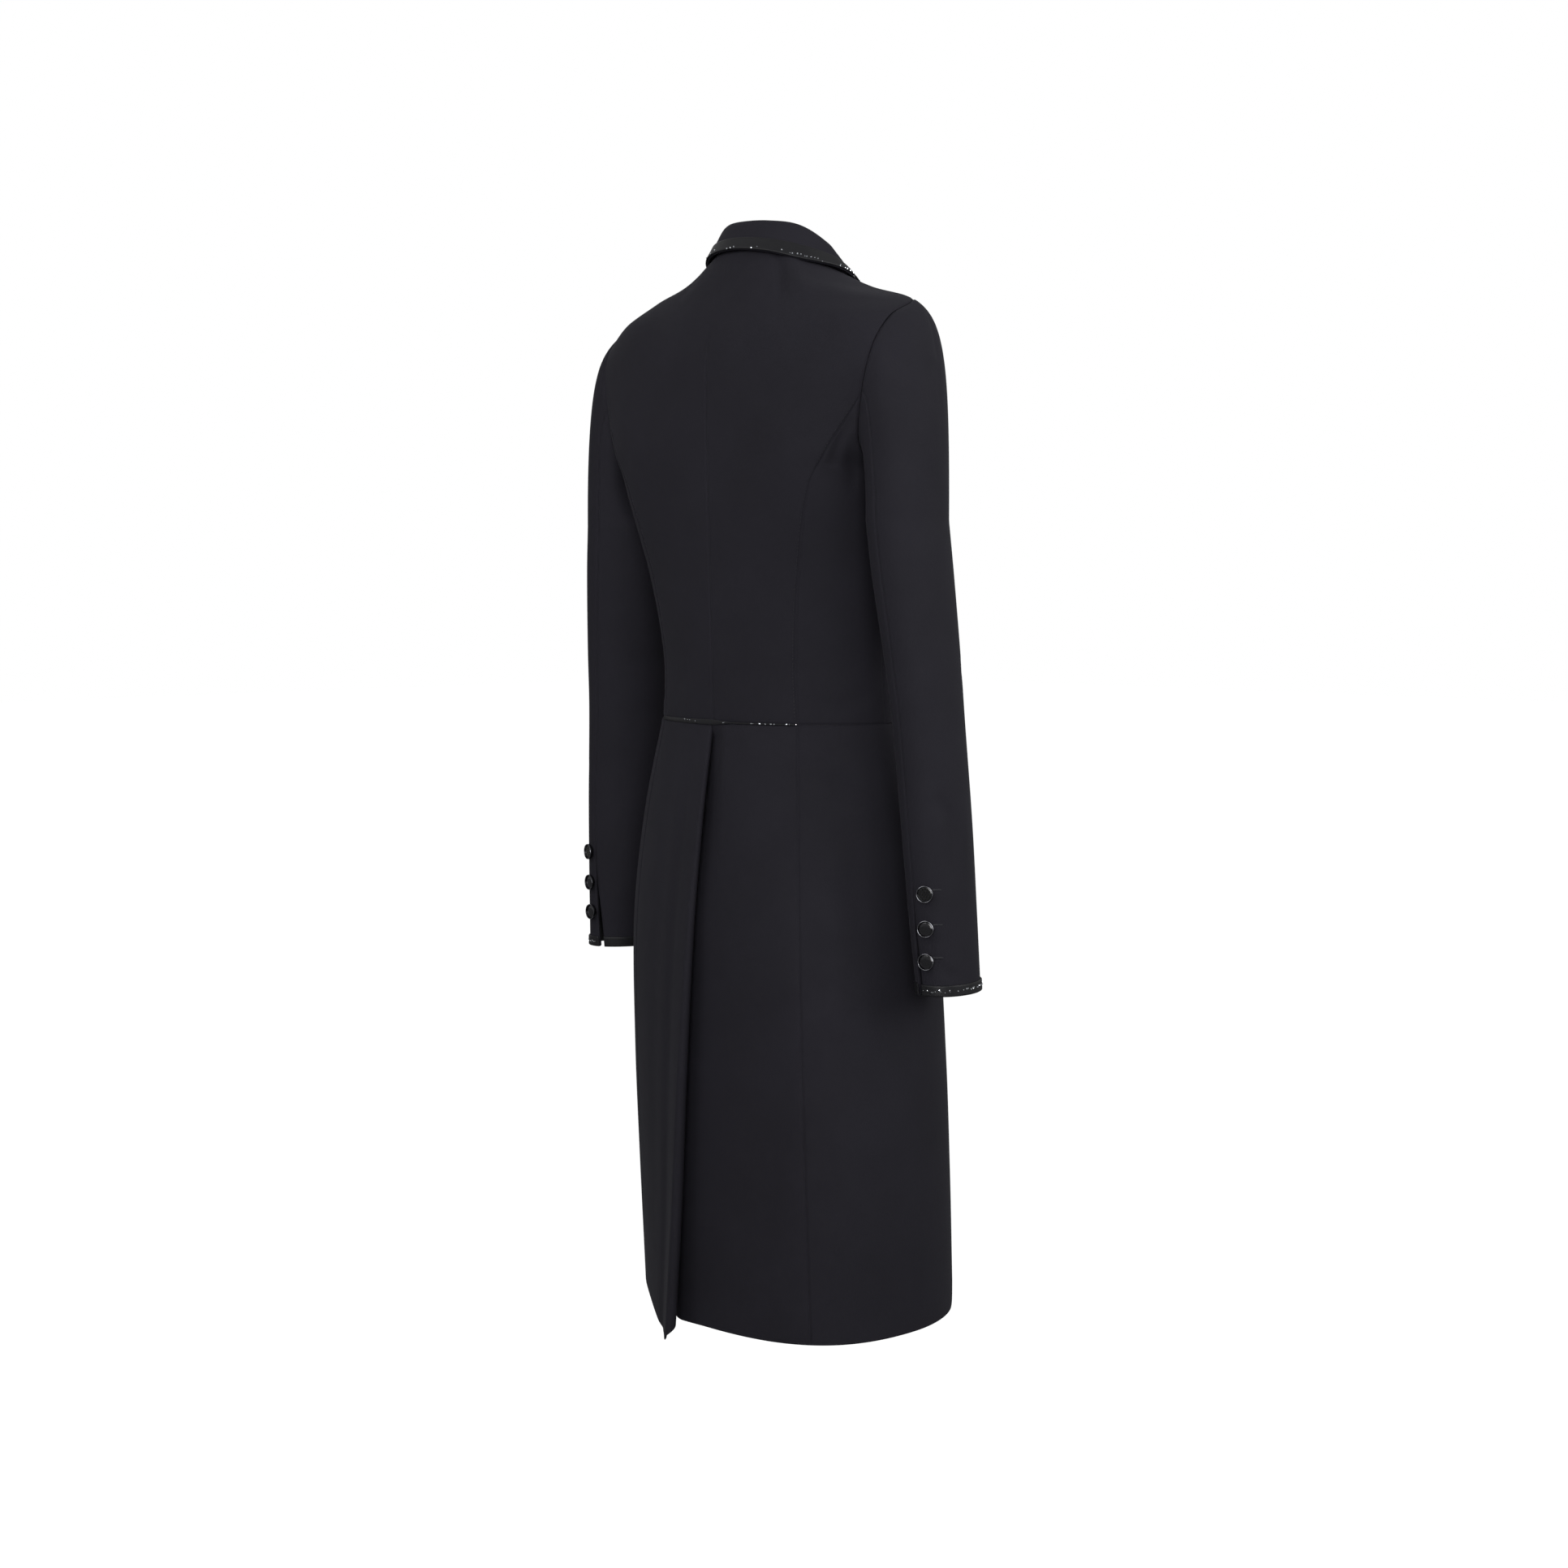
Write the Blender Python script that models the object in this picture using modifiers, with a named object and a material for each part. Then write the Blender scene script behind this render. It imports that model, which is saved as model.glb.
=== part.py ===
"""Dressage tailcoat, worn by nobody and filled out as if it were, life size.

The front faces -Y, the wearer's right is -X and up is +Z. The origin is the middle of the neck opening, where the
wearer's neck and shoulders carry the coat. Tables and sizes are in millimetres and become metres in the meshes.
A panel is a grid laid on the coat's surface with a second face inside it, one object for each piece that is cut
and sewn. "Right" and "left" are the wearer's, and tables give the distance out from the middle as x > 0.
"""

import math
from collections import namedtuple

import bmesh
import bpy
from mathutils import Vector

MM = 0.001

# Cloth and seams
CLOTH = 2.0             # wall of one panel
TRIM = 1.2              # wall of the trim strips
SEAM = 0.3              # gap that neighbouring pieces keep
BEVEL = 0.9             # how much further a seam's inner edge is drawn back, so that pieces can meet at an angle
OVER = 0.35             # gap under a piece that lies on another
ROWS_PER_LEVEL = 2      # grid rows between two levels of a table

# Main heights
WAIST_Z = -434.0
CUFF_Z = -663.0
LEFT_SHOULDER_RISE = 10.0   # how much higher the left shoulder is carried

# Collar and trims
COLLAR_TRIM_SHARE = 0.27    # share of the collar's fall, from its outer edge, that the trim covers
CUFF_TRIM_WIDTH = 10.0
PIPING_WIDTH = 4.6
PIPING_STANDS_OUT = 1.6
PIPING_GAP = 0.8        # between the piping and the cloth

# Buttons
BUTTON_RADIUS = 7.5
BUTTON_DEPTH = 4.2
FRONT_BUTTON_GAP = 1.2  # between a front button's back and the cloth's curve
CuffButton = namedtuple("CuffButton", "z angle gap")
CUFF_BUTTONS = {
    "right": [CuffButton(-574, 9, 0.8), CuffButton(-604, 6, 0.8), CuffButton(-632.5, 1.5, 0.6)],
    "left": [CuffButton(-570, 0, 0.0), CuffButton(-600, -3, -0.1), CuffButton(-629, -6, -0.2)],
}
FRONT_BUTTONS_Z = (-243.0, -318.0, -393.0)

# Front closure
FRONT_LAP = 18.0        # how far each front goes past the middle
LAP_LIFT = CLOTH + 2.6  # how far the right front stands off to lie on the left one

# Side edges of the bodice, shared by the panels that meet there: side seam, armhole, then shoulder seam
Edge = namedtuple("Edge", "level back_x back_y back_z front_x front_y front_z")
EDGES = [
    Edge("waist", 130, 2, -434, 130, 2, -434),
    Edge("lower ribs", 126, 2, -380, 126, 2, -380),
    Edge("ribs", 136, 4, -305, 136, 4, -305),
    Edge("underarm", 148, 8, -222, 148, 8, -222),
    Edge("low armhole", 155, 62, -194, 147, -26, -205),
    Edge("mid armhole", 163.5, 71.5, -150, 149, -37, -165),
    Edge("high armhole", 170, 65, -108, 151, -37, -125),
    Edge("top armhole", 166, 38, -80, 153, -27, -84),
    Edge("shoulder tip", 153, -4, -62, 153, -4, -62),
    Edge("mid shoulder", 105, -6, -48, 105, -6, -48),
    Edge("neck", 60, -3, -29.5, 60, -3, -29.5),
]
UNDERARM, MID_ARMHOLE, SHOULDER_TIP, NECK = 3, 5, 8, 10

# Back, from its centre seam to the edge: a curve that starts level for "reach" and arrives along "pull";
# "princess" is the share of that curve inside the princess seam
Back = namedtuple("Back", "level centre_y centre_z reach pull_x pull_y pull_z princess")
BACK = [
    Back("waist", 90.5, -434, 73, 0, 49, 0, 0.455),
    Back("lower ribs", 92, -380, 72, 0, 51, 0, 0.46),
    Back("ribs", 94.5, -305, 90, 0, 60, 0, 0.445),
    Back("underarm", 97, -228, 120, 0, 86, 0, 0.482),
    Back("low armhole", 98, -190, 100, -14, 34, -5, 0.71),
    Back("mid armhole", 98.5, -150, 80, -32, 20, 0, 1.0),
    Back("high armhole", 97.5, -112, 80, -35, 18, 6, 1.0),
    Back("top armhole", 92, -80, 85, -15, 35, -2, 1.0),
    Back("shoulder tip", 83, -55, 85, -6, 48, -6, 1.0),
    Back("mid shoulder", 72, -30, 60, -4, 42, -3, 1.0),
    Back("neck", 60, -9, 34, 0, 35, 9, 1.0),
]

# Front, from the middle or the lapel's fold line ("inner") to the edge
Front = namedtuple("Front", "level inner_x inner_y inner_z reach_x reach_y reach_z pull_x pull_y pull_z")
FRONT = [
    Front("waist", 0, -84, -434, 73, 0, 0, 0, -48, 0),
    Front("lower ribs", 0, -88, -380, 73, 0, 0, 0, -50, 0),
    Front("ribs", 0, -104, -305, 88, -2, 0, 0, -66, 0),
    Front("underarm", 0, -111, -235, 92, -4, 0, 0, -66, 0),
    Front("low armhole", 16, -110, -205, 60, -6, 0, -22, -38, 0),
    Front("mid armhole", 30, -103, -165, 45, -3, 0, -38, -22, 0),
    Front("high armhole", 42, -88, -122, 35, -6, 2, -40, -20, 2),
    Front("top armhole", 51, -66, -90, 30, -10, 1, -25, -26, 0),
    Front("shoulder tip", 56, -46, -68, 28, -6, 0, -14, -32, -14),
    Front("mid shoulder", 59, -32, -56, 14, -3, 1, -6, -20, -9),
    Front("neck", 61, -20, -42, 0, 5, 3, 0, -5, -5),
]
TOP_BUTTON = 3          # level where the fold line leaves the front's edge

# Front hem below the waist, by the share of the way from the side seam to the middle
Hem = namedtuple("Hem", "share drop")
FRONT_HEM = [Hem(0.0, 0), Hem(0.44, 0), Hem(0.62, 14), Hem(0.80, 38), Hem(0.92, 32), Hem(1.0, 20)]

# Tails, level by level: the inner edge at the middle of the back, the side of the hip and the front of the ring;
# "seam" is the share of the back curve inside the tail's seam
Tail = namedtuple("Tail", "z inner_x inner_y reach_x reach_y side_x side_y pull front_y seam")
RIGHT_TAIL = [
    Tail(-434, 0, 90.5, 73, 0, 130, 2, 49, -84, 0.455),
    Tail(-520, 0, 104, 86, 0, 149, 6, 60, -97, 0.455),
    Tail(-620, 0, 121, 108, 0, 167, 10, 74, -112, 0.456),
    Tail(-740, 0, 131, 122, 0, 175, 14, 83, -123, 0.473),
    Tail(-860, 0, 138, 129, 0, 179, 17, 88, -130, 0.499),
    Tail(-970, 0, 143, 134, 0, 181, 20, 91, -135, 0.525),
]
LEFT_TAIL = [
    Tail(-434, 4.6, 90.4, 70, 0, 130, 2, 49, -84, 0.45),
    Tail(-520, -1.5, 110.8, 84, -11, 149, 4, 60, -97, 0.46),
    Tail(-620, -5, 127, 93, -22, 165, 2, 66, -110, 0.47),
    Tail(-740, -7, 138.5, 90, -32, 168, 0, 65, -118, 0.48),
    Tail(-860, -8.6, 147, 85, -42, 167, -2, 60, -124, 0.49),
    Tail(-970, -9.5, 156, 80, -48, 166, -6, 52, -128, 0.50),
]
HEM_LEVEL = len(RIGHT_TAIL) - 1
TAIL_FRONT = 1.42       # where a tail's front edge runs: 1 is the side of the hip, 2 the middle of the front
TAIL_CORNER = 24.0      # radius of the tail's front corner
TAIL_ROWS = 12

# The left tail's inner edge is a rolled fold with a return behind it; the right tail goes on under both
ROLL_RADIUS = 2.6
RETURN_DEPTH = 20.0
ROLL_STARTS, ROLL_ENDS, LEFT_COLUMNS = 2, 5, 11
UNDERLAP = 30.0         # how far the right tail goes on past the middle
UNDERLAP_BEND = 20.0    # how far its hidden edge bends in towards the body
RIGHT_COLUMNS = 9
DIP_SHARE = 0.06        # strip of the right tail beside the fold that dips in under it
LEFT_TIP_DROP = 20.0    # how far the left tail's point hangs below its hem

# Sleeve rings, each an ellipse whose long axis points back and SLEEVE_TURN degrees out
Ring = namedtuple("Ring", "z x y long short")
SLEEVE = [
    Ring(-256, 175.5, 25, 48.4, 32.4),
    Ring(-300, 180, 23, 48, 32),
    Ring(-370, 188, 19.5, 45, 30),
    Ring(-430, 193.5, 16.5, 42.5, 28.5),
    Ring(-520, 200.5, 13, 41.5, 28),
    Ring(-600, 206, 10.5, 39.5, 27),
    Ring(-663, 211, 8.5, 37, 25.4),
]
SLEEVE_TURN = 16.0
FORE_SEAM = 206.0       # angle of the seam in front of the arm: 0 is the back of the ring and 90 the outside
FORE_GAP = 2.0          # degrees left between the two pieces at that seam
Hind = namedtuple("Hind", "z right left")
HIND_SEAM = [Hind(-256, -14, -21), Hind(-430, -17, -17), Hind(-560, -19, -14), Hind(-663, -23, -30)]
TOP_COLUMNS, UNDER_COLUMNS, SLEEVE_ROWS = 9, 7, 16
VENT_TOP_Z = -560.0
VENT_OPENS = 10.0       # degrees of the ring that the vent opens at the cuff
CAP_LEAVES = 1.0        # gap from the armhole to the sleeve
OFF_BODY = 2.0          # room between the sleeve's inside and the coat's side
PRESS = 4.0             # softness of the sleeve's flat inside

# Left half of the collar from the middle of the back round to its front end: where it is sewn, where it rolls
# over, and its outer edge
Collar = namedtuple("Collar", "place seam_x seam_y seam_z roll_x roll_y roll_z edge_x edge_y edge_z")
COLLAR = [
    Collar("middle", 0, 58.5, -8.6, 0, 52, 12.6, 0, 69, -14),
    Collar("nape", 29.5, 50.8, -12.4, 25.5, 44.5, 12, 35, 60.6, -17),
    Collar("behind the shoulder", 50, 29.5, -20.8, 45.5, 26.5, 8, 62, 36, -25),
    Collar("shoulder", 58, 5.5, -28, 57.5, 5, -6, 73.5, 7, -29.5),
    Collar("past the shoulder", 58.6, -10, -32.8, 59, -10, -19.5, 75, -12, -35.5),
    Collar("front of the neck", 59.6, -20, -40, 61.5, -21, -35, 75.5, -28, -48),
    Collar("gorge", 56, -39, -56, 58, -41, -52.5, 77, -47, -62),
    Collar("collar point", 52, -55, -73, 54.5, -57, -70, 76, -63, -78),
]
STAND_ENDS = 4.3        # row of the table where the stand runs out
COLLAR_COLUMNS = 28
FALL_ROWS = 5           # the lowest row is the one that the trim covers

# Lapels, lying on the fronts beside the fold line
LAPEL_BOTTOM = {"right": 3.35, "left": 3.95}
LAPEL_TOP = 7.15
LAPEL_WIDTH = 0.62      # share of the front's row that the lapel covers at its widest
LAPEL_LIFT = 1.2        # gap under a lapel

# Colours, linear
BLACK_CLOTH = (0.018, 0.018, 0.023, 1.0)
BLACK_TRIM = (0.012, 0.012, 0.014, 1.0)
BLACK_GLOSS = (0.008, 0.008, 0.009, 1.0)

RIGHT, LEFT = -1, 1
SIDES = {"right": RIGHT, "left": LEFT}


def start_empty():
    """Removes what the file holds and returns the collection for the coat."""
    for found in list(bpy.data.objects):
        bpy.data.objects.remove(found, do_unlink=True)
    coat = bpy.data.collections.new("dressage_tailcoat")
    bpy.context.scene.collection.children.link(coat)
    return coat


def material(name, colour, roughness, metallic=0.0):
    made = bpy.data.materials.new(name)
    made.use_nodes = True
    shader = made.node_tree.nodes["Principled BSDF"]
    shader.inputs["Base Color"].default_value = colour
    shader.inputs["Roughness"].default_value = roughness
    shader.inputs["Metallic"].default_value = metallic
    return made


def mix(a, b, t):
    return a + (b - a) * t


def smooth(t):
    """Eases from 0 to 1."""
    t = min(max(t, 0.0), 1.0)
    return t * t * (3 - 2 * t)


def bezier(p0, p1, p2, p3, t):
    s = 1 - t
    return p0 * s**3 + p1 * (3 * s * s * t) + p2 * (3 * s * t * t) + p3 * t**3


class Table:
    """Reads a table smoothly between its rows: level 2.5 is halfway from row 2 to row 3."""

    def __init__(self, rows, run):
        self.rows = rows
        self.run = run
        self.columns = {}

    def column(self, names):
        if names not in self.columns:
            picked = [[getattr(row, name) for name in names.split()] for row in self.rows]
            self.columns[names] = [Vector(p) if len(p) == 3 else p[0] for p in picked]
        return self.columns[names]

    def read(self, level, names):
        """One column as a number, or three as a vector."""
        values, run = self.column(names), self.run
        last = len(values) - 1
        i = min(max(int(math.floor(level)), 0), last - 1)
        slopes = []
        for k in (i, i + 1):
            a, b = max(k - 1, 0), min(k + 1, last)
            slopes.append((values[b] - values[a]) / (run[b] - run[a]))
        step = run[i + 1] - run[i]
        t = level - i
        ease = t * t * (3 - 2 * t)
        start = slopes[0] * (step * t * (1 - t) ** 2)
        end = slopes[1] * (step * t * t * (t - 1))
        return mix(values[i], values[i + 1], ease) + start + end

    def level_at(self, place):
        """Level where the running length is a given one."""
        last = len(self.run) - 1
        for i in range(last):
            if place <= self.run[i + 1] or i == last - 1:
                return i + (place - self.run[i]) / (self.run[i + 1] - self.run[i])


def running_length(points):
    run = [0.0]
    for a, b in zip(points, points[1:]):
        run.append(run[-1] + (b - a).length)
    return run


def by_height(rows):
    """A table whose rows have a z, read by depth below the origin."""
    return Table(rows, [-float(row.z) for row in rows])


def mirrored(rows):
    """The collar's half table as a whole one, from the right end to the left end."""
    flip = {"seam_x", "roll_x", "edge_x"}
    right = [row._replace(**{name: -getattr(row, name) for name in flip}) for row in rows[:0:-1]]
    return right + rows


EDGE_RUN = running_length([Vector((e.back_x, e.back_y, e.back_z)) for e in EDGES])
CENTRE_RUN = running_length([Vector((0, b.centre_y, b.centre_z)) for b in BACK])
BODY_RUN = [mix(a, b, 0.5) for a, b in zip(EDGE_RUN, CENTRE_RUN)]
edges = Table(EDGES, BODY_RUN)
backs = Table(BACK, BODY_RUN)
fronts = Table(FRONT, BODY_RUN)
front_hem = Table(FRONT_HEM, [row.share for row in FRONT_HEM])
tails = {RIGHT: by_height(RIGHT_TAIL), LEFT: by_height(LEFT_TAIL)}
sleeves = by_height(SLEEVE)
hind_seams = Table(HIND_SEAM, [-float(row.z) for row in HIND_SEAM])
whole_collar = mirrored(COLLAR)
collar = Table(whole_collar, running_length([Vector((c.edge_x, c.edge_y, c.edge_z)) for c in whole_collar]))
COLLAR_MIDDLE = len(COLLAR) - 1


def back_point(w, level):
    """Back: w runs from the centre seam (0) to the side seam, armhole or shoulder seam (1)."""
    edge = edges.read(level, "back_x back_y back_z")
    centre = Vector((0, backs.read(level, "centre_y"), backs.read(level, "centre_z")))
    reach = Vector((backs.read(level, "reach"), 0, 0))
    return bezier(centre, centre + reach, edge + backs.read(level, "pull_x pull_y pull_z"), edge, w)


def front_point(w, level):
    """Front: w runs from the edge (0) to the fold line or the middle (1)."""
    shared = level <= UNDERARM or level >= SHOULDER_TIP
    edge = edges.read(level, "back_x back_y back_z" if shared else "front_x front_y front_z")
    inner = fronts.read(level, "inner_x inner_y inner_z")
    reach = fronts.read(level, "reach_x reach_y reach_z")
    return bezier(edge, edge + fronts.read(level, "pull_x pull_y pull_z"), inner + reach, inner, w)


def tail_point(side, w, level):
    """Tail: w runs from the inner edge (0) to the side of the hip (1) and the middle of the front (2)."""
    table = tails[side]
    z = table.read(level, "z")
    hip = Vector((table.read(level, "side_x"), table.read(level, "side_y"), z))
    inner = Vector((table.read(level, "inner_x"), table.read(level, "inner_y"), z))
    if w < 0:
        return inner + Vector((w * UNDERLAP, -UNDERLAP_BEND * (-w) ** 1.5, 0))
    if w <= 1:
        reach = Vector((table.read(level, "reach_x"), table.read(level, "reach_y"), 0))
        return bezier(inner, inner + reach, hip + Vector((0, table.read(level, "pull"), 0)), hip, w)
    middle = Vector((0, table.read(level, "front_y"), z))
    round_hip = Vector((0, (middle.y - hip.y) * 0.56, 0))
    across = Vector((hip.x * 0.56, 0, 0))
    return bezier(hip, hip + round_hip, middle + across, middle, w - 1)


def armhole_point(angle):
    """Armhole: -90 is under the arm, 0 the back of it, 90 the shoulder tip, 180 the front."""
    span = SHOULDER_TIP - UNDERARM
    angle = angle - 360 if angle > 270 else angle
    if angle <= 90:
        return edges.read(UNDERARM + span * (angle + 90) / 180, "back_x back_y back_z")
    return edges.read(SHOULDER_TIP - span * (angle - 90) / 180, "front_x front_y front_z")


def off_body(x, z):
    """Presses the inside of a sleeve flat where the coat's side would meet it."""
    level = Table(EDGES[:UNDERARM + 1], [e.back_z for e in EDGES[:UNDERARM + 1]]).level_at(z)
    wall = edges.read(min(max(level, 0.0), UNDERARM), "back_x") + OFF_BODY
    return wall + (x - wall + math.hypot(x - wall, PRESS)) / 2


def ring_point(angle, z):
    """Sleeve below the armhole, at an angle round it and a height."""
    level = sleeves.level_at(-z)
    turn, a = math.radians(SLEEVE_TURN), math.radians(angle)
    along = sleeves.read(level, "long") * math.cos(a)
    out = sleeves.read(level, "short") * math.sin(a)
    x = sleeves.read(level, "x") + along * math.sin(turn) + out * math.cos(turn)
    y = sleeves.read(level, "y") + along * math.cos(turn) - out * math.sin(turn)
    return Vector((off_body(x, z), y, z))


def sleeve_point(angle, v):
    """Sleeve: v runs from the cuff (0) up to the first ring (1) and over the cap to the armhole (2)."""
    if v <= 1:
        return ring_point(angle, mix(CUFF_Z, SLEEVE[0].z, v))
    a = math.radians(angle)
    high = ((1 + math.sin(a)) / 2) ** 2.2
    upper = (1 + math.sin(a)) / 2
    away = Vector((mix(0.8, 1, upper), 0.2 * math.cos(a), -0.35 - 0.5 * (1 - upper))).normalized()
    top = armhole_point(angle) + away * CAP_LEAVES
    ring = ring_point(angle, SLEEVE[0].z)
    leaves = away * mix(13, 30 + 14 * math.cos(a), high)
    return bezier(ring, ring + Vector((0, 0, mix(8, 128, high))), top + leaves, top, v - 1)


def fall_point(u, v):
    """Collar's outer leaf: u is a row of the whole table, v runs from the outer edge (0) up to the roll (1)."""
    roll = collar.read(u, "roll_x roll_y roll_z")
    edge = collar.read(u, "edge_x edge_y edge_z")
    across = edge - roll
    flat = Vector((across.x, across.y, 0))
    down = Vector((0, 0, across.z))
    return bezier(edge, edge - flat * 0.5 - down * 0.52, roll + flat * 0.28, roll, v)


def outward(surface, u, v):
    """Unit normal of a surface of (u, v) whose u runs from the back round to the front and v upwards."""
    e = 0.004
    along = surface(min(u + e, 1), v) - surface(max(u - e, 0), v)
    up = surface(u, min(v + e, 1)) - surface(u, max(v - e, 0))
    return up.cross(along).normalized()


def raised(surface, height):
    """The same surface moved out along its normals."""
    return lambda u, v: surface(u, v) + outward(surface, u, v) * height


def placed(point, side):
    """A point of the right half's tables where it belongs on the coat, in metres."""
    x = point.x * side
    rise = LEFT_SHOULDER_RISE * smooth((x - 50) / 80) * smooth((point.z + 220) / 130)
    return Vector((x, point.y, point.z + rise)) * MM


def wall(name, surface, columns, rows, side, seams, thickness):
    """Closed mesh of a cloth piece: a grid on a surface of (u, v), its inner face and the rim between them.

    Along the edges named in seams the grid is pulled back by half the gap that seams keep.
    """
    bm = bmesh.new()
    bmesh.ops.create_grid(bm, x_segments=columns, y_segments=rows, size=1.0)
    bmesh.ops.triangulate(bm, faces=bm.faces, quad_method="FIXED")
    places = {vert: (round((vert.co.x + 1) / 2 * columns), round((vert.co.y + 1) / 2 * rows)) for vert in bm.verts}
    points = {place: surface(place[0] / columns, place[1] / rows) for place in places.values()}
    edge_of = {"inner": (0, 0, 1, 0), "outer": (0, columns, -1, 0), "low": (1, 0, 0, 1), "high": (1, rows, 0, -1)}
    inside = {}
    for vert, place in places.items():
        drawn_back, bevelled = Vector((0, 0, 0)), Vector((0, 0, 0))
        for axis, at, step_i, step_j in (edge_of[seam] for seam in seams):
            if place[axis] == at:
                step = points[place[0] + step_i, place[1] + step_j] - points[place]
                drawn_back += step.normalized() * SEAM / 2
                bevelled += step.normalized() * min(BEVEL, 0.3 * step.length)
        vert.co = placed(points[place] + drawn_back, side)
        under = points[place] - outward(surface, place[0] / columns, place[1] / rows) * thickness
        inside[vert] = placed(under + drawn_back + bevelled, side)
    if side == LEFT:
        bmesh.ops.reverse_faces(bm, faces=bm.faces)
    inner = {vert: bm.verts.new(place) for vert, place in inside.items()}
    rim = [edge.link_loops[0] for edge in bm.edges if edge.is_boundary]
    ends = [(loop.vert, loop.link_loop_next.vert) for loop in rim]
    for face in list(bm.faces):
        bm.faces.new([inner[vert] for vert in reversed(face.verts)])
    for a, b in ends:
        bm.faces.new((b, a, inner[a], inner[b]))
    mesh = bpy.data.meshes.new(name)
    bm.to_mesh(mesh)
    bm.free()
    return mesh


def cloth_piece(coat, name, surface, columns, rows, cloth, side, thickness=CLOTH,
                seams=("inner", "outer", "low", "high")):
    """One cut and sewn piece, its grid being the outer face of the cloth."""
    mesh = wall(name, surface, columns, rows, side, seams, thickness)
    mesh.shade_smooth()
    mesh.set_sharp_from_angle(angle=math.radians(50))
    mesh.materials.append(cloth)
    piece = bpy.data.objects.new(name, mesh)
    coat.objects.link(piece)
    return piece


def princess(level):
    return min(backs.read(level, "princess"), 1.0) if level < MID_ARMHOLE else 1.0


def make_bodice(coat, cloth):
    for word, side in SIDES.items():
        def back(u, v):
            return back_point(u * princess(v * NECK), v * NECK)

        def side_back(u, v):
            level = v * MID_ARMHOLE - 0.2 * smooth((v - 0.9) / 0.1)
            return back_point(mix(princess(level), 1, u), level)

        cloth_piece(coat, f"back_{word}", back, 7, NECK * ROWS_PER_LEVEL, cloth, side)
        cloth_piece(coat, f"side_back_{word}", side_back, 4, MID_ARMHOLE * ROWS_PER_LEVEL, cloth, side)


def front_surface(side):
    """Front panel: v runs from the hem up to the neck, and u from the side edge past the middle."""
    def point(u, v):
        level = v * NECK
        lap = FRONT_LAP * smooth((TOP_BUTTON + 0.5 - level) / 0.5)
        w = min(u / 0.9, 1.0)
        place = front_point(w, level)
        place.x -= lap * max(u - 0.9, 0.0) / 0.1
        place.z -= front_hem.read(front_hem.level_at(w), "drop") * max(1 - level, 0) ** 2
        if side == RIGHT:
            place.y -= LAP_LIFT * smooth((FRONT_LAP + 16 - place.x) / 14)
        return place
    return point


def lapel_surface(word, side):
    """Lapel: u runs from its outer edge to the fold line, v up from the top button to the notch."""
    front = front_surface(side)
    lift = raised(front, LAPEL_LIFT + CLOTH)

    def point(u, v):
        level = mix(LAPEL_BOTTOM[word], LAPEL_TOP - 0.35 * (1 - u), v)
        share = LAPEL_WIDTH * (0.1 + 0.9 * math.sin(math.pi / 2 * min(v * 1.15, 1)) ** 0.8)
        return lift(mix(0.9 - 0.9 * share, 0.89, u), level / NECK)
    return point


def make_fronts(coat, cloth):
    for word, side in SIDES.items():
        cloth_piece(coat, f"front_{word}", front_surface(side), 10, NECK * ROWS_PER_LEVEL, cloth, side)
        cloth_piece(coat, f"lapel_{word}", lapel_surface(word, side), 4, 10, cloth, side, thickness=CLOTH - 0.4)


def hem_rise(to_edge):
    """How far the hem climbs beside a tail's rounded front corner."""
    inside = max(TAIL_CORNER - to_edge, 0.0)
    return TAIL_CORNER - math.sqrt(TAIL_CORNER**2 - min(inside, TAIL_CORNER)**2)


def tail_level(v):
    """Level of a tail's row, v running from the hem up; rows lie closer near the waist."""
    return HEM_LEVEL * (1 - v) ** 1.3


def tail_surface(side, first, last):
    """Tail panel between two shares of the ring, each a function of the level; v runs from the hem up."""
    def point(u, v):
        level = tail_level(v)
        start, end = first(level), last(level)
        w = mix(start, end, u)
        place = tail_point(side, w, level)
        if end == TAIL_FRONT:
            corner = tail_point(side, TAIL_FRONT, level)
            place.z += hem_rise((corner - place).length) * (1 - v) ** 6
        if side == LEFT:
            place.z -= tip_drop(w, v)
        return place
    return point


def tip_drop(w, v):
    """How far the left tail's hem hangs lower towards its point."""
    return LEFT_TIP_DROP * smooth(w / 0.08 + 0.25) * max(1 - w / 0.4, 0.0) ** 2 * (1 - v) ** 2


def underlapped_surface(u, v):
    """The right tail's back panel: two columns of underlap, two that dip under the fold, then the panel."""
    level = tail_level(v)
    seam = tails[RIGHT].read(level, "seam")
    bounds = [(0, -0.04 - 0.96 * smooth((level - 0.2) / 1.5)), (2, 0.0), (4, DIP_SHARE), (RIGHT_COLUMNS, seam)]
    column = u * RIGHT_COLUMNS
    for (start, low), (end, high) in zip(bounds, bounds[1:]):
        if column <= end:
            break
    w = mix(low, high, (column - start) / (end - start))
    place = tail_point(RIGHT, w, level)
    dip = mix(6.5, 3.5, smooth((level - 1) / 2)) * smooth(level / 0.2)
    place.y -= dip * smooth(1 - w / DIP_SHARE)
    return place


def rolled_surface(panel):
    """The left tail's back panel with its rolled inner edge and the return behind it."""
    roll_starts, roll_ends = ROLL_STARTS / LEFT_COLUMNS, ROLL_ENDS / LEFT_COLUMNS

    def point(u, v):
        if u >= roll_ends:
            return panel((u - roll_ends) / (1 - roll_ends), v)
        fold = panel(0, v)
        along = tail_point(LEFT, 0.03, tail_level(v)) - tail_point(LEFT, 0, tail_level(v))
        along.normalize()
        away = Vector((-along.y, along.x, 0))
        centre = fold - away * ROLL_RADIUS
        turned = math.pi * min((roll_ends - u) / (roll_ends - roll_starts), 1)
        place = centre + (away * math.cos(turned) - along * math.sin(turned)) * ROLL_RADIUS
        return place + along * RETURN_DEPTH * max(1 - u / roll_starts, 0)
    return point


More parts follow.
